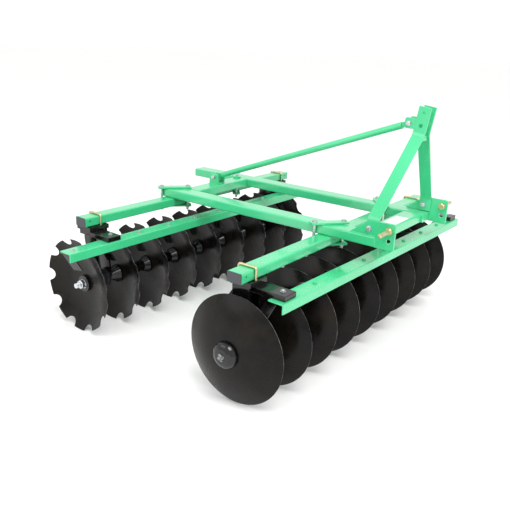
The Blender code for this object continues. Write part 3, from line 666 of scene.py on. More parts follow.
def make_bolt_tree():
    tree, given = start_tree("hexagon_bolts", [
        ("Head Radius", "Float", 0.012), ("Head Height", "Float", 0.008),
        ("Washer Radius", "Float", 0.016), ("Washer Height", "Float", 0.0025),
        ("Tail", "Float", 0.001), ("Material", "Material", None)])
    radius, height, lift = given["Head Radius"], given["Head Height"], given["Washer Height"]
    low = add_node(tree, "ShaderNodeMath", {0: height, 1: 0.86}, operation="MULTIPLY").outputs[0]
    cap = add_node(tree, "ShaderNodeMath", {0: height, 1: 0.14}, operation="MULTIPLY").outputs[0]
    narrow = add_node(tree, "ShaderNodeMath", {0: radius, 1: 0.84}, operation="MULTIPLY").outputs[0]
    shank = add_node(tree, "ShaderNodeMath", {0: radius, 1: 0.58}, operation="MULTIPLY").outputs[0]
    top = add_node(tree, "ShaderNodeMath", {0: height, 1: lift}, operation="ADD").outputs[0]
    half_washer = add_node(tree, "ShaderNodeMath", {0: lift, 1: 0.5}, operation="MULTIPLY").outputs[0]
    prism_middle = add_node(tree, "ShaderNodeMath", {0: height, 1: 0.43, 2: lift},
                            operation="MULTIPLY_ADD").outputs[0]
    crown_foot = add_node(tree, "ShaderNodeMath", {0: height, 1: 0.86, 2: lift},
                          operation="MULTIPLY_ADD").outputs[0]
    tail_middle = add_node(tree, "ShaderNodeMath", {0: given["Tail"], 1: 0.5, 2: top},
                           operation="MULTIPLY_ADD").outputs[0]
    shapes = [
        ("GeometryNodeMeshCylinder", half_washer,
         {"Vertices": 24, "Radius": given["Washer Radius"], "Depth": lift}),
        ("GeometryNodeMeshCylinder", prism_middle, {"Vertices": 6, "Radius": radius, "Depth": low}),
        ("GeometryNodeMeshCone", crown_foot,
         {"Vertices": 6, "Radius Top": narrow, "Radius Bottom": radius, "Depth": cap}),
        ("GeometryNodeMeshCylinder", tail_middle,
         {"Vertices": 16, "Radius": shank, "Depth": given["Tail"]}),
    ]
    bolt = add_node(tree, "GeometryNodeJoinGeometry")
    for kind, place, sizes in shapes:
        up = add_node(tree, "ShaderNodeCombineXYZ", {"Z": place})
        made = add_node(tree, kind, sizes)
        moved = add_node(tree, "GeometryNodeTransform", {
            "Geometry": made.outputs["Mesh"], "Translation": up.outputs["Vector"]})
        tree.links.new(moved.outputs["Geometry"], bolt.inputs["Geometry"])
    axis = add_node(tree, "GeometryNodeInputNamedAttribute", {"Name": "axis"},
                    data_type="FLOAT_VECTOR")
    aim = add_node(tree, "FunctionNodeAlignRotationToVector",
                   {"Vector": axis.outputs["Attribute"]}, axis="Z")
    placed = add_node(tree, "GeometryNodeInstanceOnPoints", {
        "Points": given["Geometry"], "Instance": bolt.outputs["Geometry"],
        "Rotation": aim.outputs["Rotation"]})
    return end_tree(tree, placed.outputs["Instances"], given["Material"])


bolt_tree = make_bolt_tree()


def bolts(places, material, head=0.012, height=0.008, washer=0.016, tail=0.001):
    """Bolts at (point, axis) places; head is the hexagon's corner radius."""
    data = bpy.data.meshes.new("bolt_places")
    data.from_pydata([tuple(point) for point, _ in places], [], [])
    attribute = data.attributes.new("axis", "FLOAT_VECTOR", "POINT")
    attribute.data.foreach_set("vector", [c for _, axis in places for c in Vector(axis).normalized()])
    return grown(bolt_tree, data, {
        "Head Radius": head, "Head Height": height, "Washer Radius": washer, "Washer Height": 0.0025,
        "Tail": tail, "Material": material})


print("made", bolt_tree.name)

# %% [markdown]
# ### Threads
#
# A thread seen from a metre away is a row of sharp ridges. The tree cuts a line into half-pitch
# steps and gives every second point a smaller radius, then sweeps a circle along it.

# %% The thread tree


def make_thread_tree():
    tree, given = start_tree("screw_thread", [
        ("Radius", "Float", 0.006), ("Pitch", "Float", 0.0018), ("Depth", "Float", 0.12),
        ("Material", "Material", None)])
    half_pitch = add_node(tree, "ShaderNodeMath", {0: given["Pitch"], 1: 0.5},
                          operation="MULTIPLY").outputs[0]
    line = add_node(tree, "GeometryNodeResampleCurve", {
        "Curve": given["Geometry"], "Length": half_pitch}, mode="LENGTH")
    index = add_node(tree, "GeometryNodeInputIndex").outputs["Index"]
    odd = add_node(tree, "ShaderNodeMath", {0: index, 1: 2.0}, operation="MODULO").outputs[0]
    cut = add_node(tree, "ShaderNodeMath", {0: odd, 1: given["Depth"]}, operation="MULTIPLY").outputs[0]
    size = add_node(tree, "ShaderNodeMath", {0: 1.0, 1: cut}, operation="SUBTRACT").outputs[0]
    shaped = add_node(tree, "GeometryNodeSetCurveRadius", {"Curve": line.outputs["Curve"], "Radius": size})
    ring = add_node(tree, "GeometryNodeCurvePrimitiveCircle", {"Resolution": 18, "Radius": given["Radius"]})
    swept = add_node(tree, "GeometryNodeCurveToMesh", {
        "Curve": shaped.outputs["Curve"], "Profile Curve": ring.outputs["Curve"], "Fill Caps": True})
    if "Scale" in swept.inputs:
        tree.links.new(size, swept.inputs["Scale"])
    return end_tree(tree, swept.outputs["Mesh"], given["Material"])


thread_tree = make_thread_tree()


def thread(start, end, radius, material, pitch=0.002):
    """A threaded length between two points."""
    return grown(thread_tree, line_curve([start, end]), {
        "Radius": radius, "Pitch": pitch, "Depth": 0.12, "Material": material})


print("made", thread_tree.name)

# %% [markdown]
# ### Weld beads
#
# A hand-laid weld is a row of small overlapping puddles, each a little different. The tree walks
# a line in even steps, drops a ball at each, and varies the balls' sizes with a fixed
# seed, so that the bead comes out the same every time.

# %% The weld tree


def make_weld_tree():
    tree, given = start_tree("weld_bead", [
        ("Width", "Float", 0.006), ("Step", "Float", 0.004), ("Seed", "Int", 4),
        ("Material", "Material", None)])
    line = add_node(tree, "GeometryNodeResampleCurve", {
        "Curve": given["Geometry"], "Length": given["Step"]}, mode="LENGTH")
    half = add_node(tree, "ShaderNodeMath", {0: given["Width"], 1: 0.5},
                    operation="MULTIPLY").outputs[0]
    ball = add_node(tree, "GeometryNodeMeshIcoSphere", {"Radius": half, "Subdivisions": 2})
    vary = add_node(tree, "FunctionNodeRandomValue",
                    {2: 0.85, 3: 1.15, "Seed": given["Seed"]}, data_type="FLOAT")
    placed = add_node(tree, "GeometryNodeInstanceOnPoints", {
        "Points": line.outputs["Curve"], "Instance": ball.outputs["Mesh"],
        "Scale": vary.outputs[1]})
    return end_tree(tree, placed.outputs["Instances"], given["Material"])


weld_tree = make_weld_tree()


def weld(points, width, seed):
    """A bead along points; its puddles lie 0.62 of a width apart."""
    return grown(weld_tree, line_curve(points), {
        "Width": width, "Step": width * 0.62, "Seed": seed, "Material": green_enamel})


print("node trees:", [t.name for t in (bolt_tree, thread_tree, weld_tree)])

# %% [markdown]
# ## Discs
#
# A disc is pressed from 5 mm boron steel into a shallow bowl and its edge is ground to bare
# steel, which shows here as a narrow band round the rim. Its middle is flat where the spools
# clamp it. A disc follows a rule, so it is grown by a node tree: a flat grid is wrapped into a
# ring, its height follows the bowl's arc, and its rim radius falls into round notches. The rear
# discs are notched to cut stalks; the front discs are plain. Notches and plain rim come from the
# same tree, with the notch radius set to nothing.

# %% The disc tree


def make_disc_tree():
    tree, given = start_tree("dished_disc", [
        ("Radius", "Float", 0.255), ("Bore", "Float", 0.0166), ("Flat Radius", "Float", 0.055),
        ("Dish", "Float", 0.058), ("Thickness", "Float", 0.005), ("Notches", "Float", 10.0),
        ("Notch Radius", "Float", 0.036), ("Notch Centre", "Float", 0.259), ("Steps", "Int", 240),
        ("Rows", "Int", 9), ("Material", "Material", None), ("Edge Material", "Material", None)])
    last = add_node(tree, "ShaderNodeMath", {0: given["Rows"], 1: 2.0, 2: 2.0},
                    operation="MULTIPLY_ADD").outputs[0]
    around = add_node(tree, "ShaderNodeMath", {0: given["Steps"], 1: 1.0}, operation="ADD").outputs[0]
    across = add_node(tree, "ShaderNodeMath", {0: last, 1: 1.0}, operation="ADD").outputs[0]
    grid = add_node(tree, "GeometryNodeMeshGrid", {"Vertices X": around, "Vertices Y": across})
    flat = add_node(tree, "ShaderNodeSeparateXYZ", {
        "Vector": add_node(tree, "GeometryNodeInputPosition").outputs["Position"]})
    row_place = add_node(tree, "ShaderNodeMath", {0: flat.outputs["Y"], 1: 0.5}, operation="ADD").outputs[0]
    row_place = add_node(tree, "ShaderNodeMath", {0: row_place, 1: last}, operation="MULTIPLY").outputs[0]

    # The edge: the band between the last row of the hollow side and the first of the crown side.
    rim_row = add_node(tree, "ShaderNodeMath", {0: given["Rows"], 1: 0.5}, operation="ADD").outputs[0]
    from_rim = add_node(tree, "ShaderNodeMath", {0: row_place, 1: rim_row}, operation="SUBTRACT").outputs[0]
    from_rim = add_node(tree, "ShaderNodeMath", {0: from_rim}, operation="ABSOLUTE").outputs[0]
    is_edge = add_node(tree, "ShaderNodeMath", {0: from_rim, 1: 0.4}, operation="LESS_THAN").outputs[0]
    marked = add_node(tree, "GeometryNodeStoreNamedAttribute", {
        "Geometry": grid.outputs["Mesh"], "Name": "ground", "Value": is_edge},
        data_type="FLOAT", domain="FACE")

    # The row's place round the section: 0 at the bore, Rows at the rim, back on the crown side.
    row = add_node(tree, "ShaderNodeMath", {0: row_place}, operation="ROUND").outputs[0]
    row = add_node(tree, "ShaderNodeMath", {0: row, 1: last}, operation="MODULO").outputs[0]
    back_row = add_node(tree, "ShaderNodeMath", {0: last, 1: row}, operation="SUBTRACT").outputs[0]
    back_row = add_node(tree, "ShaderNodeMath", {0: back_row, 1: 1.0}, operation="SUBTRACT").outputs[0]
    out = add_node(tree, "ShaderNodeMath", {0: row, 1: back_row}, operation="MINIMUM").outputs[0]
    on_hollow = add_node(tree, "ShaderNodeMath", {0: row, 1: back_row}, operation="LESS_THAN").outputs[0]
    side = add_node(tree, "ShaderNodeMath", {0: on_hollow, 1: 2.0, 2: -1.0},
                    operation="MULTIPLY_ADD").outputs[0]
    inner_rows = add_node(tree, "ShaderNodeMath", {0: given["Rows"], 1: 1.0},
                          operation="SUBTRACT").outputs[0]
    share = add_node(tree, "ShaderNodeMath", {0: out, 1: inner_rows}, operation="DIVIDE").outputs[0]
    share = add_node(tree, "ShaderNodeMath", {0: share, 1: 0.985}, operation="MULTIPLY").outputs[0]
    share = add_node(tree, "ShaderNodeMath", {0: share, 1: 1.0}, operation="MINIMUM").outputs[0]
    at_rim = add_node(tree, "ShaderNodeMath", {0: out, 1: inner_rows}, operation="GREATER_THAN").outputs[0]

    # The rim's radius at each angle: the near side of a round notch, or the full radius.
    angle = add_node(tree, "ShaderNodeMath", {0: flat.outputs["X"], 1: 0.5}, operation="ADD").outputs[0]
    angle = add_node(tree, "ShaderNodeMath", {0: angle, 1: tau}, operation="MULTIPLY").outputs[0]
    half_step = add_node(tree, "ShaderNodeMath", {0: pi, 1: given["Notches"]},
                         operation="DIVIDE").outputs[0]
    minus_half = add_node(tree, "ShaderNodeMath", {0: half_step, 1: -1.0}, operation="MULTIPLY").outputs[0]
    from_notch = add_node(tree, "ShaderNodeMath", {0: angle, 1: half_step}, operation="SUBTRACT").outputs[0]
    from_notch = add_node(tree, "ShaderNodeMath", {0: from_notch, 1: half_step, 2: minus_half},
                          operation="WRAP").outputs[0]
    beside = add_node(tree, "ShaderNodeMath", {0: from_notch}, operation="SINE").outputs[0]
    beside = add_node(tree, "ShaderNodeMath", {0: beside, 1: given["Notch Centre"]},
                      operation="MULTIPLY").outputs[0]
    beside = add_node(tree, "ShaderNodeMath", {0: beside, 1: beside}, operation="MULTIPLY").outputs[0]
    room = add_node(tree, "ShaderNodeMath", {0: given["Notch Radius"], 1: given["Notch Radius"]},
                    operation="MULTIPLY").outputs[0]
    room = add_node(tree, "ShaderNodeMath", {0: room, 1: beside}, operation="SUBTRACT").outputs[0]
    in_notch = add_node(tree, "ShaderNodeMath", {0: room, 1: 0.0}, operation="GREATER_THAN").outputs[0]
    root = add_node(tree, "ShaderNodeMath", {0: room, 1: 0.0}, operation="MAXIMUM").outputs[0]
    root = add_node(tree, "ShaderNodeMath", {0: root}, operation="SQRT").outputs[0]
    notch = add_node(tree, "ShaderNodeMath", {0: from_notch}, operation="COSINE").outputs[0]
    notch = add_node(tree, "ShaderNodeMath", {0: notch, 1: given["Notch Centre"]},
                     operation="MULTIPLY").outputs[0]
    notch = add_node(tree, "ShaderNodeMath", {0: notch, 1: root}, operation="SUBTRACT").outputs[0]
    depth = add_node(tree, "ShaderNodeMath", {0: given["Radius"], 1: notch},
                     operation="SUBTRACT").outputs[0]
    depth = add_node(tree, "ShaderNodeMath", {0: depth, 1: 0.0}, operation="MAXIMUM").outputs[0]
    depth = add_node(tree, "ShaderNodeMath", {0: depth, 1: in_notch}, operation="MULTIPLY").outputs[0]
    rim = add_node(tree, "ShaderNodeMath", {0: given["Radius"], 1: depth}, operation="SUBTRACT").outputs[0]

    # Radius, and the bowl's height there: flat in the middle, then an arc through the rim.
    span = add_node(tree, "ShaderNodeMath", {0: rim, 1: given["Bore"]}, operation="SUBTRACT").outputs[0]
    radius = add_node(tree, "ShaderNodeMath", {0: span, 1: share, 2: given["Bore"]},
                      operation="MULTIPLY_ADD").outputs[0]
    radius = add_node(tree, "ShaderNodeMix", {0: at_rim, 2: radius, 3: rim}).outputs[0]
    run = add_node(tree, "ShaderNodeMath", {0: radius, 1: given["Flat Radius"]},
                   operation="SUBTRACT").outputs[0]
    run = add_node(tree, "ShaderNodeMath", {0: run, 1: 0.0}, operation="MAXIMUM").outputs[0]
    run = add_node(tree, "ShaderNodeMath", {0: run, 1: run}, operation="MULTIPLY").outputs[0]
    reach = add_node(tree, "ShaderNodeMath", {0: given["Radius"], 1: given["Flat Radius"]},
                     operation="SUBTRACT").outputs[0]
    reach = add_node(tree, "ShaderNodeMath", {0: reach, 1: reach}, operation="MULTIPLY").outputs[0]
    dish_square = add_node(tree, "ShaderNodeMath", {0: given["Dish"], 1: given["Dish"]},
                           operation="MULTIPLY").outputs[0]
    both = add_node(tree, "ShaderNodeMath", {0: reach, 1: dish_square}, operation="ADD").outputs[0]
    arc = add_node(tree, "ShaderNodeMath", {0: both, 1: given["Dish"]}, operation="DIVIDE").outputs[0]
    arc = add_node(tree, "ShaderNodeMath", {0: arc, 1: 0.5}, operation="MULTIPLY").outputs[0]
    arc_square = add_node(tree, "ShaderNodeMath", {0: arc, 1: arc}, operation="MULTIPLY").outputs[0]
    fall = add_node(tree, "ShaderNodeMath", {0: arc_square, 1: run}, operation="SUBTRACT").outputs[0]
    fall = add_node(tree, "ShaderNodeMath", {0: fall}, operation="SQRT").outputs[0]
    middle = add_node(tree, "ShaderNodeMath", {0: arc, 1: fall}, operation="SUBTRACT").outputs[0]
    thinning = add_node(tree, "ShaderNodeMath", {0: at_rim, 1: -0.55, 2: 1.0},
                        operation="MULTIPLY_ADD").outputs[0]
    half = add_node(tree, "ShaderNodeMath", {0: given["Thickness"], 1: 0.5},
                    operation="MULTIPLY").outputs[0]
    half = add_node(tree, "ShaderNodeMath", {0: half, 1: thinning}, operation="MULTIPLY").outputs[0]
    height = add_node(tree, "ShaderNodeMath", {0: half, 1: side, 2: middle},
                      operation="MULTIPLY_ADD").outputs[0]
    x = add_node(tree, "ShaderNodeMath", {0: angle}, operation="COSINE").outputs[0]
    x = add_node(tree, "ShaderNodeMath", {0: x, 1: radius}, operation="MULTIPLY").outputs[0]
    y = add_node(tree, "ShaderNodeMath", {0: angle}, operation="SINE").outputs[0]
    y = add_node(tree, "ShaderNodeMath", {0: y, 1: radius}, operation="MULTIPLY").outputs[0]
    place = add_node(tree, "ShaderNodeCombineXYZ", {"X": x, "Y": y, "Z": height})
    wrapped = add_node(tree, "GeometryNodeSetPosition", {
        "Geometry": marked.outputs["Geometry"], "Position": place.outputs["Vector"]})
    real = add_node(tree, "GeometryNodeRealizeInstances", {"Geometry": wrapped.outputs["Geometry"]})
    painted = add_node(tree, "GeometryNodeSetMaterial", {
        "Geometry": real.outputs["Geometry"], "Material": given["Material"]})
    ground = add_node(tree, "GeometryNodeInputNamedAttribute", {"Name": "ground"}, data_type="FLOAT")
    chosen = add_node(tree, "ShaderNodeMath", {0: ground.outputs["Attribute"], 1: 0.5},
                      operation="GREATER_THAN").outputs[0]
    edged = add_node(tree, "GeometryNodeSetMaterial", {
        "Geometry": painted.outputs["Geometry"], "Selection": chosen, "Material": given["Edge Material"]})
    add_node(tree, "NodeGroupOutput", {"Geometry": edged.outputs["Geometry"]})
    return tree


disc_tree = make_disc_tree()
print("made", disc_tree.name)

# %% [markdown]
# ## The two gangs
#
# Each gang is an axle that threads nine discs and the spools between them. Its own frame has Z
# along the axle towards the discs' hollow and X pointing down. The rear gang faces the other way,
# so that it throws the soil back to where it was, and it is turned by two degrees. The distances
# in the table are measured along each gang's beam from the machine's middle plane.

# %% Gang frames
disc_pitch, disc_count, axle_height = 0.220, 9, 0.255


def gang_frame(origin, facing, yaw):
    """The frame of a gang's axle at a point on it."""
    along = Vector((cos(yaw), sin(yaw), 0.0)) * facing
    down = Vector((0.0, 0.0, -1.0))
    turn = Matrix((down, along.cross(down), along)).transposed().to_4x4()
    return Matrix.Translation(origin) @ turn


rear_yaw = radians(-2.0)
gangs = {
    "front": {"facing": 1, "yaw": 0.0, "beam_y": 0.265, "setback": -0.014, "first_hub": -1.108,
              "journals": (0.142, 1.873), "beam": (-1.054, 0.858), "bearings": (-0.966, 0.765),
              "u_bolts": (-0.966, 0.735), "arms": (-0.940, 0.786), "scraper": (-1.008, 0.845),
              "scraper_y": 0.016, "scraper_yaw": radians(-1.6)},
    "rear": {"facing": -1, "yaw": rear_yaw, "beam_y": 1.328, "setback": -0.036, "first_hub": -0.992,
             "journals": (0.118, 1.655), "beam": (-0.980, 0.822), "bearings": (-0.887, 0.650),
             "u_bolts": (-0.887, 0.740), "arms": (-0.920, 0.640), "scraper": (-1.215, 0.752),
             "scraper_y": 1.124, "scraper_yaw": radians(-1.5)},
}


def on_beam(gang, along, setback=0.0, z=0.0):
    """A point along the gang's beam, measured from the machine's middle plane."""
    direction = Vector((cos(gang["yaw"]), sin(gang["yaw"]), 0.0))
    rearward = Vector((-sin(gang["yaw"]), cos(gang["yaw"]), 0.0))
    return Vector((0.0, gang["beam_y"], z)) + direction * along + rearward * setback


for gang in gangs.values():
    far_hub = gang["first_hub"] + (disc_count - 1) * disc_pitch
    gang["domed_hub"] = gang["first_hub"] if gang["facing"] > 0 else far_hub
    centre = on_beam(gang, gang["domed_hub"], gang["setback"], axle_height)
    gang["frame"] = gang_frame(centre, gang["facing"], gang["yaw"])
print("domed hubs:", {name: round(gang["domed_hub"], 3) for name, gang in gangs.items()})

# %% Discs


def tidied(mesh, place):
    """A grown mesh with its seams merged, its faces turned outwards and its place applied."""
    bm = bmesh.new()
    bm.from_mesh(mesh)
    bmesh.ops.remove_doubles(bm, verts=bm.verts, dist=1e-6)
    bmesh.ops.recalc_face_normals(bm, faces=bm.faces)
    bm.transform(place)
    bm.to_mesh(mesh)
    bm.free()
    return mesh


for name, gang in gangs.items():
    plain = name == "front"
    for i in range(disc_count):
        disc = grown(disc_tree, bpy.data.meshes.new("seed"), {
            "Notches": 1.0 if plain else 10.0, "Notch Radius": 0.0 if plain else 0.036,
            "Steps": 180 if plain else 300, "Material": disc_enamel, "Edge Material": ground_steel})
        tidied(disc, gang["frame"] @ Matrix.Translation((0, 0, i * disc_pitch)))
        nth = i + 1 if gang["facing"] > 0 else disc_count - i
        made = piece(f"{name}_dished_disc_{nth}", f"{name}_gang", [disc], [f"{name}_disc_{nth}"])
    print(name, "disc triangles:", sum(len(f.vertices) - 2 for f in made.data.polygons))

# %% [markdown]
# ## Axles and spools
#
# The spools are turned castings: a flange clamps each disc and a tapered barrel keeps the pitch.
# A long bolt draws them together, with a square forged head in a domed cap at one end and a
# washer, a hexagon nut and its thread at the other. The square head is worn bright.

# %% Axles
flange_radius, flange = 0.050, 0.010
barrel_radius, journal_radius, bolt_radius = 0.032, 0.022, 0.016
journal_half = 0.050


def spool_points(top, bottom, journals):
    """Down one spool from its top face, as (radius, height)."""
    points = [(flange_radius, top), (flange_radius, top - flange)]
    carried = [place for place in journals if bottom < place < top]
    if carried:
        points += [(journal_radius, min(carried[0] + journal_half, top - flange)),
                   (journal_radius, max(carried[0] - journal_half, bottom + flange))]
    else:
        points += [(barrel_radius, top - 0.040), (barrel_radius, bottom + 0.040)]
    return points + [(flange_radius, bottom + flange), (flange_radius, bottom)]


def axle_meshes(gang):
    """The spools and domed cap as one turned shape, and the long bolt's head, nut and thread."""
    hold, last_hub = 0.0028, (disc_count - 1) * disc_pitch
    washer_radius, washer_height = 0.045, 0.014
    end, points = last_hub + hold, []
    if gang["journals"][1] > last_hub:
        top = gang["journals"][1] + 0.060
        points, end = spool_points(top, end, gang["journals"]), top
    top = end + washer_height
    points = [(0.0, top), (washer_radius, top), (washer_radius, end)] + points
    for i in reversed(range(disc_count)):
        hub = i * disc_pitch
        points += [(bolt_radius, hub + hold), (bolt_radius, hub - hold)]
        if i:
            points += spool_points(hub - hold, hub - disc_pitch + hold, gang["journals"])
    points += [(0.062, -hold), (0.062, -hold - 0.008)]
    points += [(0.060, -hold - 0.015), (0.055, -hold - 0.023), (0.048, -hold - 0.029),
               (0.036, -hold - 0.034), (0.020, -hold - 0.036), (0.0, -hold - 0.036)]
    radii = [0.0] + [0.0015] * (len(points) - 2) + [0.0]
    smooth = [(p.x, p.y) for p in rounded(points, radii, 3)]
    place = gang["frame"]
    meshes = [lathe(smooth, 40, black_enamel, place)]
    head = Matrix.Translation((0, 0, -hold - 0.0368)) @ Matrix.Rotation(radians(20), 4, "Z")
    meshes.append(block((0.030, 0.030, 0.0060), worn_black, place @ head, 0.002))
    out = place.to_3x3() @ Vector((0, 0, 1))
    foot = place @ Vector((0, 0, top))
    nut_radius, thread_radius, thread_pitch = 0.0258, 0.0135, 0.003
    meshes.append(bolts([(foot, out)], bright_zinc, nut_radius, 0.023, nut_radius, 0.0004))
    meshes.append(thread(foot + out * 0.024, foot + out * 0.0515, thread_radius, bright_zinc,
                         thread_pitch))
    return meshes


for name, gang in gangs.items():
    axle = piece(f"{name}_spools_and_axle", f"{name}_gang", axle_meshes(gang), [f"{name}_gang_axle"])
    print(name, "axle triangles:", sum(len(f.vertices) - 2 for f in axle.data.polygons))

# %% [markdown]
# ## Bearings and hangers
#
# A bearing housing is a round casting with a lip at each face. It is held between two plates that
# hang from the saddle under the gang beam. The saddle is a thick flat, the arm under it reaches
# forward to carry the scraper bar, and the plates are flame cut and welded on.

# %% Bearings and hangers


def side_name(along):
    """The machine's side; negative X is its right."""
    return "right" if along < 0 else "left"


def hanger_meshes(gang, along, u_bolt, arm):
    """A saddle, its arm and its two plates; the saddle reaches past whatever it carries."""
    arm_width = 0.085
    low = min(along - 0.043, u_bolt - arm_width / 2, arm - arm_width / 2) - 0.004
    high = max(along + 0.043, u_bolt + arm_width / 2, arm + arm_width / 2) + 0.004
    turn = Matrix.Rotation(gang["yaw"], 4, "Z")
    saddle = Matrix.Translation(on_beam(gang, (low + high) / 2, z=0.5512)) @ turn
    beam_at_arm = gang["beam_y"] + arm * sin(gang["yaw"])
    scraper_at_arm = gang["scraper_y"] + arm * sin(gang["scraper_yaw"])
    front, rear = beam_at_arm - scraper_at_arm - 0.012, 0.040
    arm_place = Matrix.Translation(on_beam(gang, arm, (rear - front) / 2, 0.5267)) @ turn
    meshes = [block((high - low, 0.112, 0.024), black_enamel, saddle, 0.002),
              block((arm_width, rear + front, 0.025), black_enamel, arm_place, 0.003, 3)]
    axle = gang["setback"]
    outline = [(-0.046, 0.540), (-0.046, 0.4782), (axle - 0.039, 0.275), (axle - 0.0234, 0.215),
               (axle + 0.0234, 0.215), (axle + 0.039, 0.275), (0.046, 0.4782), (0.046, 0.540)]
    corners = [0.0, 0.03, 0.02, 0.02, 0.02, 0.02, 0.03, 0.0]
    for side in (-1, 1):
        stand = along_x(on_beam(gang, along + side * 0.038), gang["yaw"])
        eye = (axle, axle_height, 0.028, 32)
        meshes.append(slab(outline, 0.010, black_enamel, stand, [eye], corners, 0.0008))
        seam = along + side * 0.044
        if not low < seam < high:
            ends = [on_beam(gang, seam, y, 0.5385) for y in (-0.044, 0.044)]
            meshes.append(weld(ends, 0.006, 3))
    return meshes


def bearing_mesh(gang, along):
    """A round housing with a bore, the same from its middle to either face."""
    upper = [(0.0235, 0.0320), (0.043, 0.0320), (0.043, 0.0295), (0.049, 0.0295),
             (0.0518, 0.026), (0.0518, 0.012), (0.0495, 0.009)]
    profile = upper + [(radius, -height) for radius, height in reversed(upper)]
    centre = on_beam(gang, along, gang["setback"], axle_height)
    return lathe(profile, 48, black_casting, gang_frame(centre, gang["facing"], gang["yaw"]))


for name, gang in gangs.items():
    for k in (0, 1):
        along = gang["bearings"][k]
        label = f"{name}_{side_name(along)}"
        piece(f"{label}_bearing_housing", "frame", [bearing_mesh(gang, along)],
              [f"{label}_bearing"])
        hanger = hanger_meshes(gang, along, gang["u_bolts"][k], gang["arms"][k])
        arm_tip = on_beam(gang, gang["arms"][k], 0.0, 0.5392)
        arm_tip.y = gang["scraper_y"] + gang["arms"][k] * sin(gang["scraper_yaw"]) + 0.052
        hanger.append(bolts([(arm_tip, (0, 0, 1))], bright_zinc, 0.0095, 0.007, 0.0125))
        piece(f"{label}_hanger_and_arm", "frame", hanger, [f"{label}_hanger"])
        print("hung", label)

# %% [markdown]
# ## Scraper bars
#
# Each bar is an angle iron under the arms. Nine spring-steel blades are bolted to it, one for each
# disc, and each runs back and down to the hollow of its disc to clean it. A blade is a flat strip
# with one bend and a slight twist, so it is swept through stations.

# %% Scraper bars
bar_top = 0.5139


def scraper_meshes(name, gang):
    """An angle iron with one blade for each disc, and a bolt for each disc that stands clear of the bar's
    ends and the arms.
    """
    facing, yaw = gang["facing"], gang["scraper_yaw"]

    def bar_point(along, back=0.0, z=bar_top):
        return Vector((along, gang["scraper_y"] + along * sin(yaw) + back, z))
    low, high = gang["scraper"]
    section = [(0, 0), (0, -0.045), (0.006, -0.045), (0.006, -0.006), (0.080, -0.006), (0.080, 0)]
    corners = [0.005, 0.001, 0.001, 0.004, 0.001, 0.001]
    middle = along_x(bar_point((low + high) / 2), yaw)
    meshes = [slab(section, high - low, green_enamel, middle, (), corners, 0.0006)]
    places = []
    for i in range(disc_count):
        hub = gang["domed_hub"] + facing * i * disc_pitch
        bolt_x, tip_x = hub + facing * 0.176, hub + facing * 0.102
        bolt = bar_point(bolt_x, 0.0496, bar_top - 0.0093)
        knee = bolt + Vector((0, 0.0496, -0.012))
        tip = Vector((tip_x, on_beam(gang, tip_x, gang["setback"]).y - 0.075, 0.375))
        start = bolt + (bolt - knee).normalized() * 0.004
        flat, twisted = Vector((facing, 0, 0)), Vector((0.25 * facing, 1, 0)).normalized()
        line = bent([start, knee, tip], 0.022, 6)
        line = line[:-1] + [line[-2].lerp(line[-1], t) for t in (0.25, 0.5, 0.75, 1.0)]
        stations = []
        for k, point in enumerate(line):
            share = min(1.0, max(0.0, (k - 1) / 6))
            stations.append((point, flat.lerp(twisted, share * share * (3 - 2 * share))))
        meshes.append(strip(stations, 0.060, 0.0058, black_enamel))
        places.append((bar_point(bolt_x, 0.040), (0, 0, 1)))
    inside = [place for place in places if low + 0.02 < place[0].x < high - 0.02]
    clear = [place for place in inside if all(abs(place[0].x - arm) > 0.06 for arm in gang["arms"])]
    finish = green_enamel if name == "front" else bright_zinc
    meshes.append(bolts(clear, finish, 0.0092, 0.006, 0.0115))
    print(name, "scraper bolts that show:", len(clear))
    return meshes


for name, gang in gangs.items():
    piece(f"{name}_scraper_angle_and_blades", "frame", scraper_meshes(name, gang), [f"{name}_scraper_bar"])

# %% [markdown]
# ## Frame tubes
#
# The frame is welded from cold-formed rectangular tube, whose corners are rounded to about 9 mm.
# Two long tubes run fore and aft, two short ones join them, and the gang beams lie under them.
# A blank white label sits on the front cross member.

# %% Frame tubes
long_tube_x = 0.2885
frame_width, beam_width, tube_height = 0.100, 0.080, 0.050
frame_mid, beam_mid, frame_top = 0.6388, 0.5885, 0.6640
tube_overhang = 0.010


def tube(width, length, place):
    """A closed length of the frame's tube."""
    return slab(rectangle(width, tube_height), length, green_enamel, place, (), 0.009, 0.0008)


def clamp_reach(gang):
    """How far a clamp's bolts stand from the crossing's middle, across and along the machine."""
    across = 0.0595
    return across, 0.0495 + abs(sin(gang["yaw"])) * across


def clamp_bolt_places(gang, side):
    """(x, y) of a clamp's two bolts, just outside the long tube and the gang beam."""
    crossing = on_beam(gang, side * long_tube_x)
    half_x, half_y = clamp_reach(gang)
    return [(crossing.x + sign * half_x, crossing.y + sign * side * half_y) for sign in (-1, 1)]


for side, rear in ((-1, 1.404), (1, 1.642)):
    name = f"{side_name(side)}_longitudinal"
    middle = Vector((side * long_tube_x, (rear - tube_overhang) / 2, frame_mid))
    tubes = [tube(frame_width, rear + tube_overhang, along_y(middle))]
    piece(f"{name}_tube", "frame", tubes, [name])

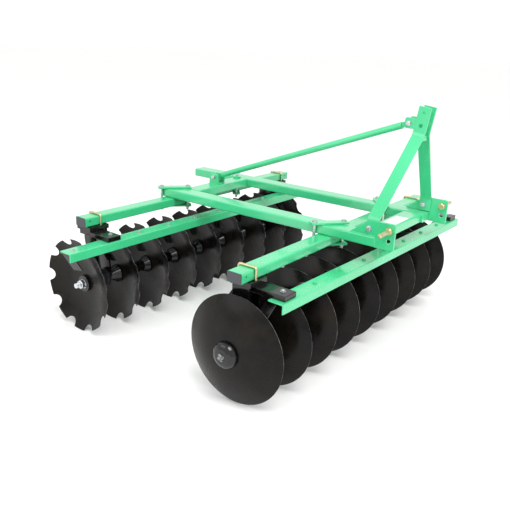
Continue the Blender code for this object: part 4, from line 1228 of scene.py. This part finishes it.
for name, front in (("front_cross_member", 0.0), ("rear_cross_member", 1.191)):
    centre = Vector((0.0, front + frame_width / 2, frame_mid))
    meshes = [tube(frame_width, 0.4764, along_x(centre))]
    if name.startswith("front"):
        label = Matrix.Translation((0.02, 0.045, frame_top))
        meshes.append(slab(rectangle(0.160, 0.070), 0.0005, label_vinyl, label, (), 0.004, 0.0001))
        meshes += [weld([(x, y, frame_top) for y in (0.004, 0.096)], 0.006, 9)
                   for x in (-0.2375, 0.2375)]
    else:
        rear_bolts = [xy for side in (-1, 1) for xy in clamp_bolt_places(gangs["rear"], side)]
        reach = [(x, y) for x, y in rear_bolts if y < 1.30]
        print("rear cross member bores:", [(round(x, 4), round(y, 4)) for x, y in reach])
        meshes = [drill(mesh, [(Vector((x, y, 0.60)), Vector((x, y, 0.68)), 0.0096) for x, y in reach])
                  for mesh in meshes]
    piece(f"{name}_tube", "frame", meshes, [name])

for name, gang in gangs.items():
    low, high = gang["beam"]
    middle = on_beam(gang, (low + high) / 2, z=beam_mid)
    beam = tube(beam_width, high - low, along_x(middle, gang["yaw"]))
    holes = [(on_beam(gang, along, -0.060, 0.593), on_beam(gang, along, -0.030, 0.593), 0.0055)
             for along in (low + 0.029, high - 0.029)]
    piece(f"{name}_beam_tube", "frame", [drill(beam, holes)], [f"{name}_gang_beam"])

# %% [markdown]
# ## U-bolts and crossing clamps
#
# U-bolts of 12 mm rod clamp the saddles to the gang beams. At each crossing, two thick plates set
# slantwise grip the long tube and the gang beam between two bolts; slackening them lets the gang
# angle be changed. The bolts end in nuts and a few turns of thread below.

# %% U-bolts and clamps
shank_radius = 0.0078


def u_bolt_mesh(gang, along):
    """A round bar over the beam, down to the saddle on both sides."""
    leg, foot, top = 0.0466, 0.5638, 0.6135 + 0.0066
    shape = [(-leg, foot), (-leg, top), (leg, top), (leg, foot)]
    line = bent([on_beam(gang, along, y, z) for y, z in shape], 0.012, 7)
    return rod(line, 0.006, yellow_zinc)


def clamp_meshes(gang, side):
    """Two slanting plates and the two bolts that draw them together."""
    crossing = on_beam(gang, side * long_tube_x)
    half_x, half_y = clamp_reach(gang)
    slant = Matrix.Rotation(atan2(side * half_y, half_x), 4, "Z")
    length = 2 * (hypot(half_x, half_y) + 0.022)
    meshes, tops, nuts = [], [], []
    for z in (0.6691, 0.5582):
        place = Matrix.Translation((crossing.x, crossing.y, z)) @ slant
        meshes.append(slab(rectangle(length, 0.050), 0.010, green_enamel, place, (), 0.006, 0.001))
    for bolt_x, bolt_y in clamp_bolt_places(gang, side):
        tops.append((Vector((bolt_x, bolt_y, 0.6741)), (0, 0, 1)))
        nuts.append((Vector((bolt_x, bolt_y, 0.5532)), (0, 0, -1)))
        shank = [Vector((bolt_x, bolt_y, z)) for z in (0.5600, 0.6680)]
        tail = [Vector((bolt_x, bolt_y, z)) for z in (0.5450, 0.5313)]
        meshes.append(rod(shank, shank_radius, bright_zinc))
        meshes.append(thread(*tail, shank_radius, bright_zinc))
    meshes.append(bolts(tops, bright_zinc, 0.0125, 0.0075, 0.0145))
    meshes.append(bolts(nuts, bright_zinc, 0.0125, 0.0075, 0.0145))
    return meshes


for name, gang in gangs.items():
    for along in gang["u_bolts"]:
        node = f"{name}_{side_name(along)}_u_bolt"
        piece(f"{node}_rod", "frame", [u_bolt_mesh(gang, along)], [node])
    for side in (-1, 1):
        node = f"{name}_{side_name(side)}_clamp"
        piece(f"{node}_plates", "frame", clamp_meshes(gang, side), [node])
    print(name, "gang clamped to both long tubes")

# %% [markdown]
# ## Hitch
#
# The lower hitch plates are flame cut from 12 mm plate and welded to the front ends of the long
# tubes, with a tail that runs back along the top. Each has two holes for the pin, so that the
# height can be changed. The lower link pin is turned and yellow passivated, with a collar, and a
# cross hole near its tip takes the linch pin that keeps the tractor's link on.

# %% Hitch plates and link pins
pin_y, pin_z = -0.078, 0.706
foot_bolt_y, foot_bolt_z, bolt_hole = 0.027, 0.698, 0.0088
hitch_middle, hitch_outside = 0.3265, 0.3325


def hitch_meshes(side):
    """A cut plate with its holes, and the beads that join it to the long tube."""
    outline = [(-0.107, 0.612), (-0.0103, 0.612), (-0.0103, 0.6641), (0.122, 0.6641), (0.122, 0.6681),
               (0.020, 0.741), (-0.107, 0.741)]
    corners = [0.010, 0.001, 0.001, 0.001, 0.001, 0.012, 0.014]
    holes = [(pin_y, pin_z, 0.0117, 28), (pin_y, 0.654, 0.0117, 28),
             (foot_bolt_y, foot_bolt_z, bolt_hole, 24)]
    stand = along_x((side * hitch_middle, 0, 0))
    plate = slab(outline, 0.012, green_enamel, stand, holes, corners, 0.001)
    edge = side * hitch_outside
    beads = [weld([(edge, -0.0095, 0.618), (edge, -0.0095, 0.658)], 0.007, 5),
             weld([(edge, 0.000, 0.6645), (edge, 0.116, 0.6645)], 0.006, 6)]
    return [plate] + beads


def link_pin_meshes(side):
    """A turned pin with its collar, its linch pin hole and the nut inside the plate."""
    turn = Matrix.Translation((0.0, pin_y, pin_z)) @ Matrix.Rotation(side * pi / 2, 4, "Y")
    outside, inside, tip = 0.3328, 0.3202, 0.4378
    profile = [(0.0, tip), (0.0070, tip), (0.0090, tip - 0.0010), (0.0110, tip - 0.0050),
               (0.0110, outside + 0.0135), (0.0125, outside + 0.012), (0.0170, outside + 0.012),
               (0.0180, outside + 0.0108), (0.0180, outside), (0.0110, outside), (0.0110, inside),
               (0.0090, inside), (0.0090, inside - 0.022), (0.0, inside - 0.022)]
    pin = lathe(profile, 32, yellow_zinc, turn)
    hole_x = side * (tip - 0.016)
    hole = (Vector((hole_x, -0.100, pin_z)), Vector((hole_x, -0.056, pin_z)), 0.0034)
    nut = (Vector((side * inside, pin_y, pin_z)), (-side, 0, 0))
    return [drill(pin, [hole]), bolts([nut], yellow_zinc, 0.0188, 0.0135, 0.0188, 0.0004)]


for side in (-1, 1):
    label = side_name(side)
    piece(f"{label}_hitch_plate_cut", "frame", hitch_meshes(side), [f"{label}_hitch_plate"])
    piece(f"{label}_link_pin_turned", "frame", link_pin_meshes(side), [f"{label}_link_pin"])
    print(label, "hitch plate and pin done")

# %% [markdown]
# ## Mast and brace
#
# The mast is an A frame of two flat bars, bent at the foot and again at the head, where they run
# parallel to take the tractor's top link between them. A plate keeps them apart under the head. A
# round tube with flattened ends braces the mast back to a bracket on the rear cross member.

# %% Mast legs
top_link_y, top_link_z = 0.0189, 1.170
foot_x, head_x, foot_bend_z = 0.3152, 0.0300, 0.742


def mast_y(z):
    """The mast's middle, which leans forward above its lower bend."""
    return 0.015 - 0.138 * max(0.0, z - foot_bend_z)


def mast_meshes(side):
    """A bent flat bar with a lug for the brace, drilled through, and its foot bolt."""
    heights = [(foot_x, 0.667), (foot_x, foot_bend_z), (head_x, 1.118), (head_x, 1.2527)]
    line = bent([(side * x, mast_y(z), z) for x, z in heights], 0.018, 6)
    leg = strip([(point, Vector((0, 1, 0))) for point in line], 0.062, 0.0098, green_enamel)
    lug_y = mast_y(top_link_z) + 0.021
    outline = [(lug_y, 1.144), (lug_y + 0.062, 1.146), (lug_y + 0.062, 1.198), (lug_y, 1.196)]
    lug = slab(outline, 0.008, green_enamel, along_x((side * head_x, 0, 0)),
               [(top_link_y, top_link_z, bolt_hole, 24)], [0.001, 0.012, 0.012, 0.001], 0.001)
    across = []
    for radius, x, y, z in ((0.010, head_x, mast_y(1.163), 1.163),
                            (0.007, head_x, mast_y(1.226), 1.226),
                            (bolt_hole, head_x, top_link_y, top_link_z),
                            (bolt_hole, foot_x, foot_bolt_y, foot_bolt_z)):
        across.append((Vector((side * x - 0.02, y, z)), Vector((side * x + 0.02, y, z)), radius))
    foot = [(Vector((side * hitch_outside, foot_bolt_y, foot_bolt_z)), (side, 0, 0))]
    nut = [(Vector((side * 0.3102, foot_bolt_y, foot_bolt_z)), (-side, 0, 0))]
    return [drill(leg, across), drill(lug, across[2:3]),
            bolts(foot, bright_zinc, 0.0125, 0.008, 0.0155),
            bolts(nut, bright_zinc, 0.0125, 0.009, 0.0155, 0.004)]


for side in (-1, 1):
    label = side_name(side)
    piece(f"{label}_mast_bar", "frame", mast_meshes(side), [f"{label}_mast_leg"])
    print(label, "mast leg done")

# %% Spacer and brace tube
spacer = slab([(-0.0452, 1.086), (0.0452, 1.086), (0.0266, 1.114), (-0.0266, 1.114)], 0.044,
              green_enamel, along_y((0, mast_y(1.100), 0)), (), 0.001, 0.002)
piece("mast_spacer_plate", "frame", [spacer], ["mast_spacer"])

bracket_y = 1.246
upper, lower = Vector((0, top_link_y, top_link_z)), Vector((0, bracket_y, 0.7081))
along = (lower - upper).normalized()
tube_ends = upper + along * 0.050, lower - along * 0.050
tube_length = (tube_ends[1] - tube_ends[0]).length
profile = [(0.0, 0.0), (0.0158, 0.0), (0.017, 0.0012), (0.017, tube_length - 0.0012),
           (0.0158, tube_length), (0.0, tube_length)]
tube_place = Matrix.Translation(tube_ends[0]) @ along.to_track_quat("Z", "X").to_matrix().to_4x4()
brace = [lathe(profile, 36, green_enamel, tube_place)]
slope = Matrix.Rotation(atan2(along.z, along.y), 4, "Z")
for eye, way in ((upper, 1), (lower, -1)):
    outline = [(-0.018 * way, -0.014), (0.062 * way, -0.014), (0.062 * way, 0.014),
               (-0.018 * way, 0.014)]
    brace.append(slab(outline, 0.012, green_enamel, along_x(eye) @ slope,
                      [(0, 0, bolt_hole, 24)], [0.012, 0.001, 0.001, 0.012], 0.001))
piece("brace_round_tube", "frame", brace, ["brace_tube"])
print("brace from eye to eye:", round((lower - upper).length, 4))

# %% Bracket of the brace
base = Matrix.Translation((0, bracket_y, 0.6681))
bracket = [slab(rectangle(0.066, 0.070), 0.008, green_enamel, base, (), 0.002, 0.001)]
ear = [(1.211, 0.6700), (1.281, 0.6700), (1.281, 0.7258), (1.211, 0.7258)]
for side in (-1, 1):
    bracket.append(slab(ear, 0.008, green_enamel, along_x((side * 0.029, 0, 0)),
                        [(lower.y, lower.z, bolt_hole, 24)], [0.001, 0.001, 0.016, 0.016], 0.001))
    bracket.append(weld([(side * 0.0340, y, 0.6645) for y in (1.214, 1.278)], 0.005, 8))
piece("brace_foot_bracket", "frame", bracket, ["brace_bracket"])
print("bracket holes at:", round(lower.y, 4), round(lower.z, 4))

# %% Cross bolts of the brace
for node, eye, half in (("brace_rear_bolt", lower, 0.0333), ("brace_front_bolt", upper, 0.0343)):
    y, z = eye.y, eye.z
    shank = rod([(-half - 0.012, y, z), (half + 0.004, y, z)], shank_radius, bright_zinc)
    head = bolts([((half, y, z), (1, 0, 0))], bright_zinc, 0.0125, 0.0072, 0.0130, 0.0002)
    nut = bolts([((-half, y, z), (-1, 0, 0))], bright_zinc, 0.0125, 0.0090, 0.0130, 0.0002)
    piece(f"{node}_hexagon", "frame", [shank, head, nut], [node])
    print("made", node)

# %% [markdown]
# ## End caps
#
# The plastic caps are plain mouldings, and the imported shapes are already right, so those nodes stay
# and only take their material.

# %% End caps
for name in gangs:
    for side in ("right", "left"):
        cap = bpy.data.objects[f"{name}_{side}_end_cap"]
        cap.data.materials.clear()
        cap.data.materials.append(charcoal_plastic)
        print("painted", cap.name)

# %% [markdown]
# ## Floor, light and camera
#
# A pale matt floor and a pale sky all round give even light, and two large soft lamps give the long
# white reflections that show how glossy the black enamel is.

# %% Floor, lamps and sky


def make_floor():
    """A wide matt floor, a millimetre under the discs."""
    material, tree = start_material("pale_studio_floor")
    finish_material(material, tree, {"Base Color": linear("#fafaf9"), "Roughness": 0.9})
    bm = bmesh.new()
    bmesh.ops.create_grid(bm, x_segments=1, y_segments=1, size=60.0)
    data = mesh_of("studio_floor", bm, material, Matrix.Translation((0, 0, -0.001)))
    floor = in_scene("studio_floor", data)
    floor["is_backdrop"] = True
    return floor


def make_lamp(name, place, size, power):
    """A round soft lamp that looks at the middle of the machine."""
    lamp = bpy.data.lights.new(name, "AREA")
    lamp.shape, lamp.size, lamp.energy = "DISK", size, power
    holder = in_scene(name, lamp)
    holder.location = place
    holder.rotation_euler = (Vector((0, 0, 0.4)) - Vector(place)).to_track_quat("-Z", "Y").to_euler()
    holder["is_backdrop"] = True
    return holder


make_floor()
make_lamp("key_lamp", (-2.0, -3.0, 6.0), 3.5, 260.0)
make_lamp("fill_lamp", (-5.0, 2.5, 3.5), 4.0, 60.0)
world = bpy.data.worlds.new("pale_studio_sky")
world.use_nodes = True
background = world.node_tree.nodes["Background"]
background.inputs["Color"].default_value = (1.0, 1.0, 1.0, 1.0)
background.inputs["Strength"].default_value = 1.04
bpy.context.scene.world = world
bpy.context.scene.view_settings.view_transform = "Standard"
print("lamps:", [light.name for light in bpy.data.lights])

# %% Camera
camera_data = bpy.data.cameras.new("camera")
camera_data.lens, camera_data.sensor_width = 44.24, 36.0
camera_data.shift_x, camera_data.shift_y = 0.0515, -0.0044
camera = in_scene("camera", camera_data)
right, up = Vector((0.6280, -0.7776, 0.0310)), Vector((0.2359, 0.2282, 0.9446))
back = right.cross(up).normalized()
up = back.cross(right.normalized())
camera.matrix_world = Matrix.Translation((-2.82667, -1.9958, 1.5429)) @ Matrix(
    (right.normalized(), up, back)).transposed().to_4x4()
bpy.context.scene.camera = camera
print("camera at:", [round(c, 3) for c in camera.matrix_world.translation])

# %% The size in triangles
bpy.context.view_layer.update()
shown = sum(sum(len(f.vertices) - 2 for f in o.data.polygons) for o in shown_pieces())
print("triangles:", shown)
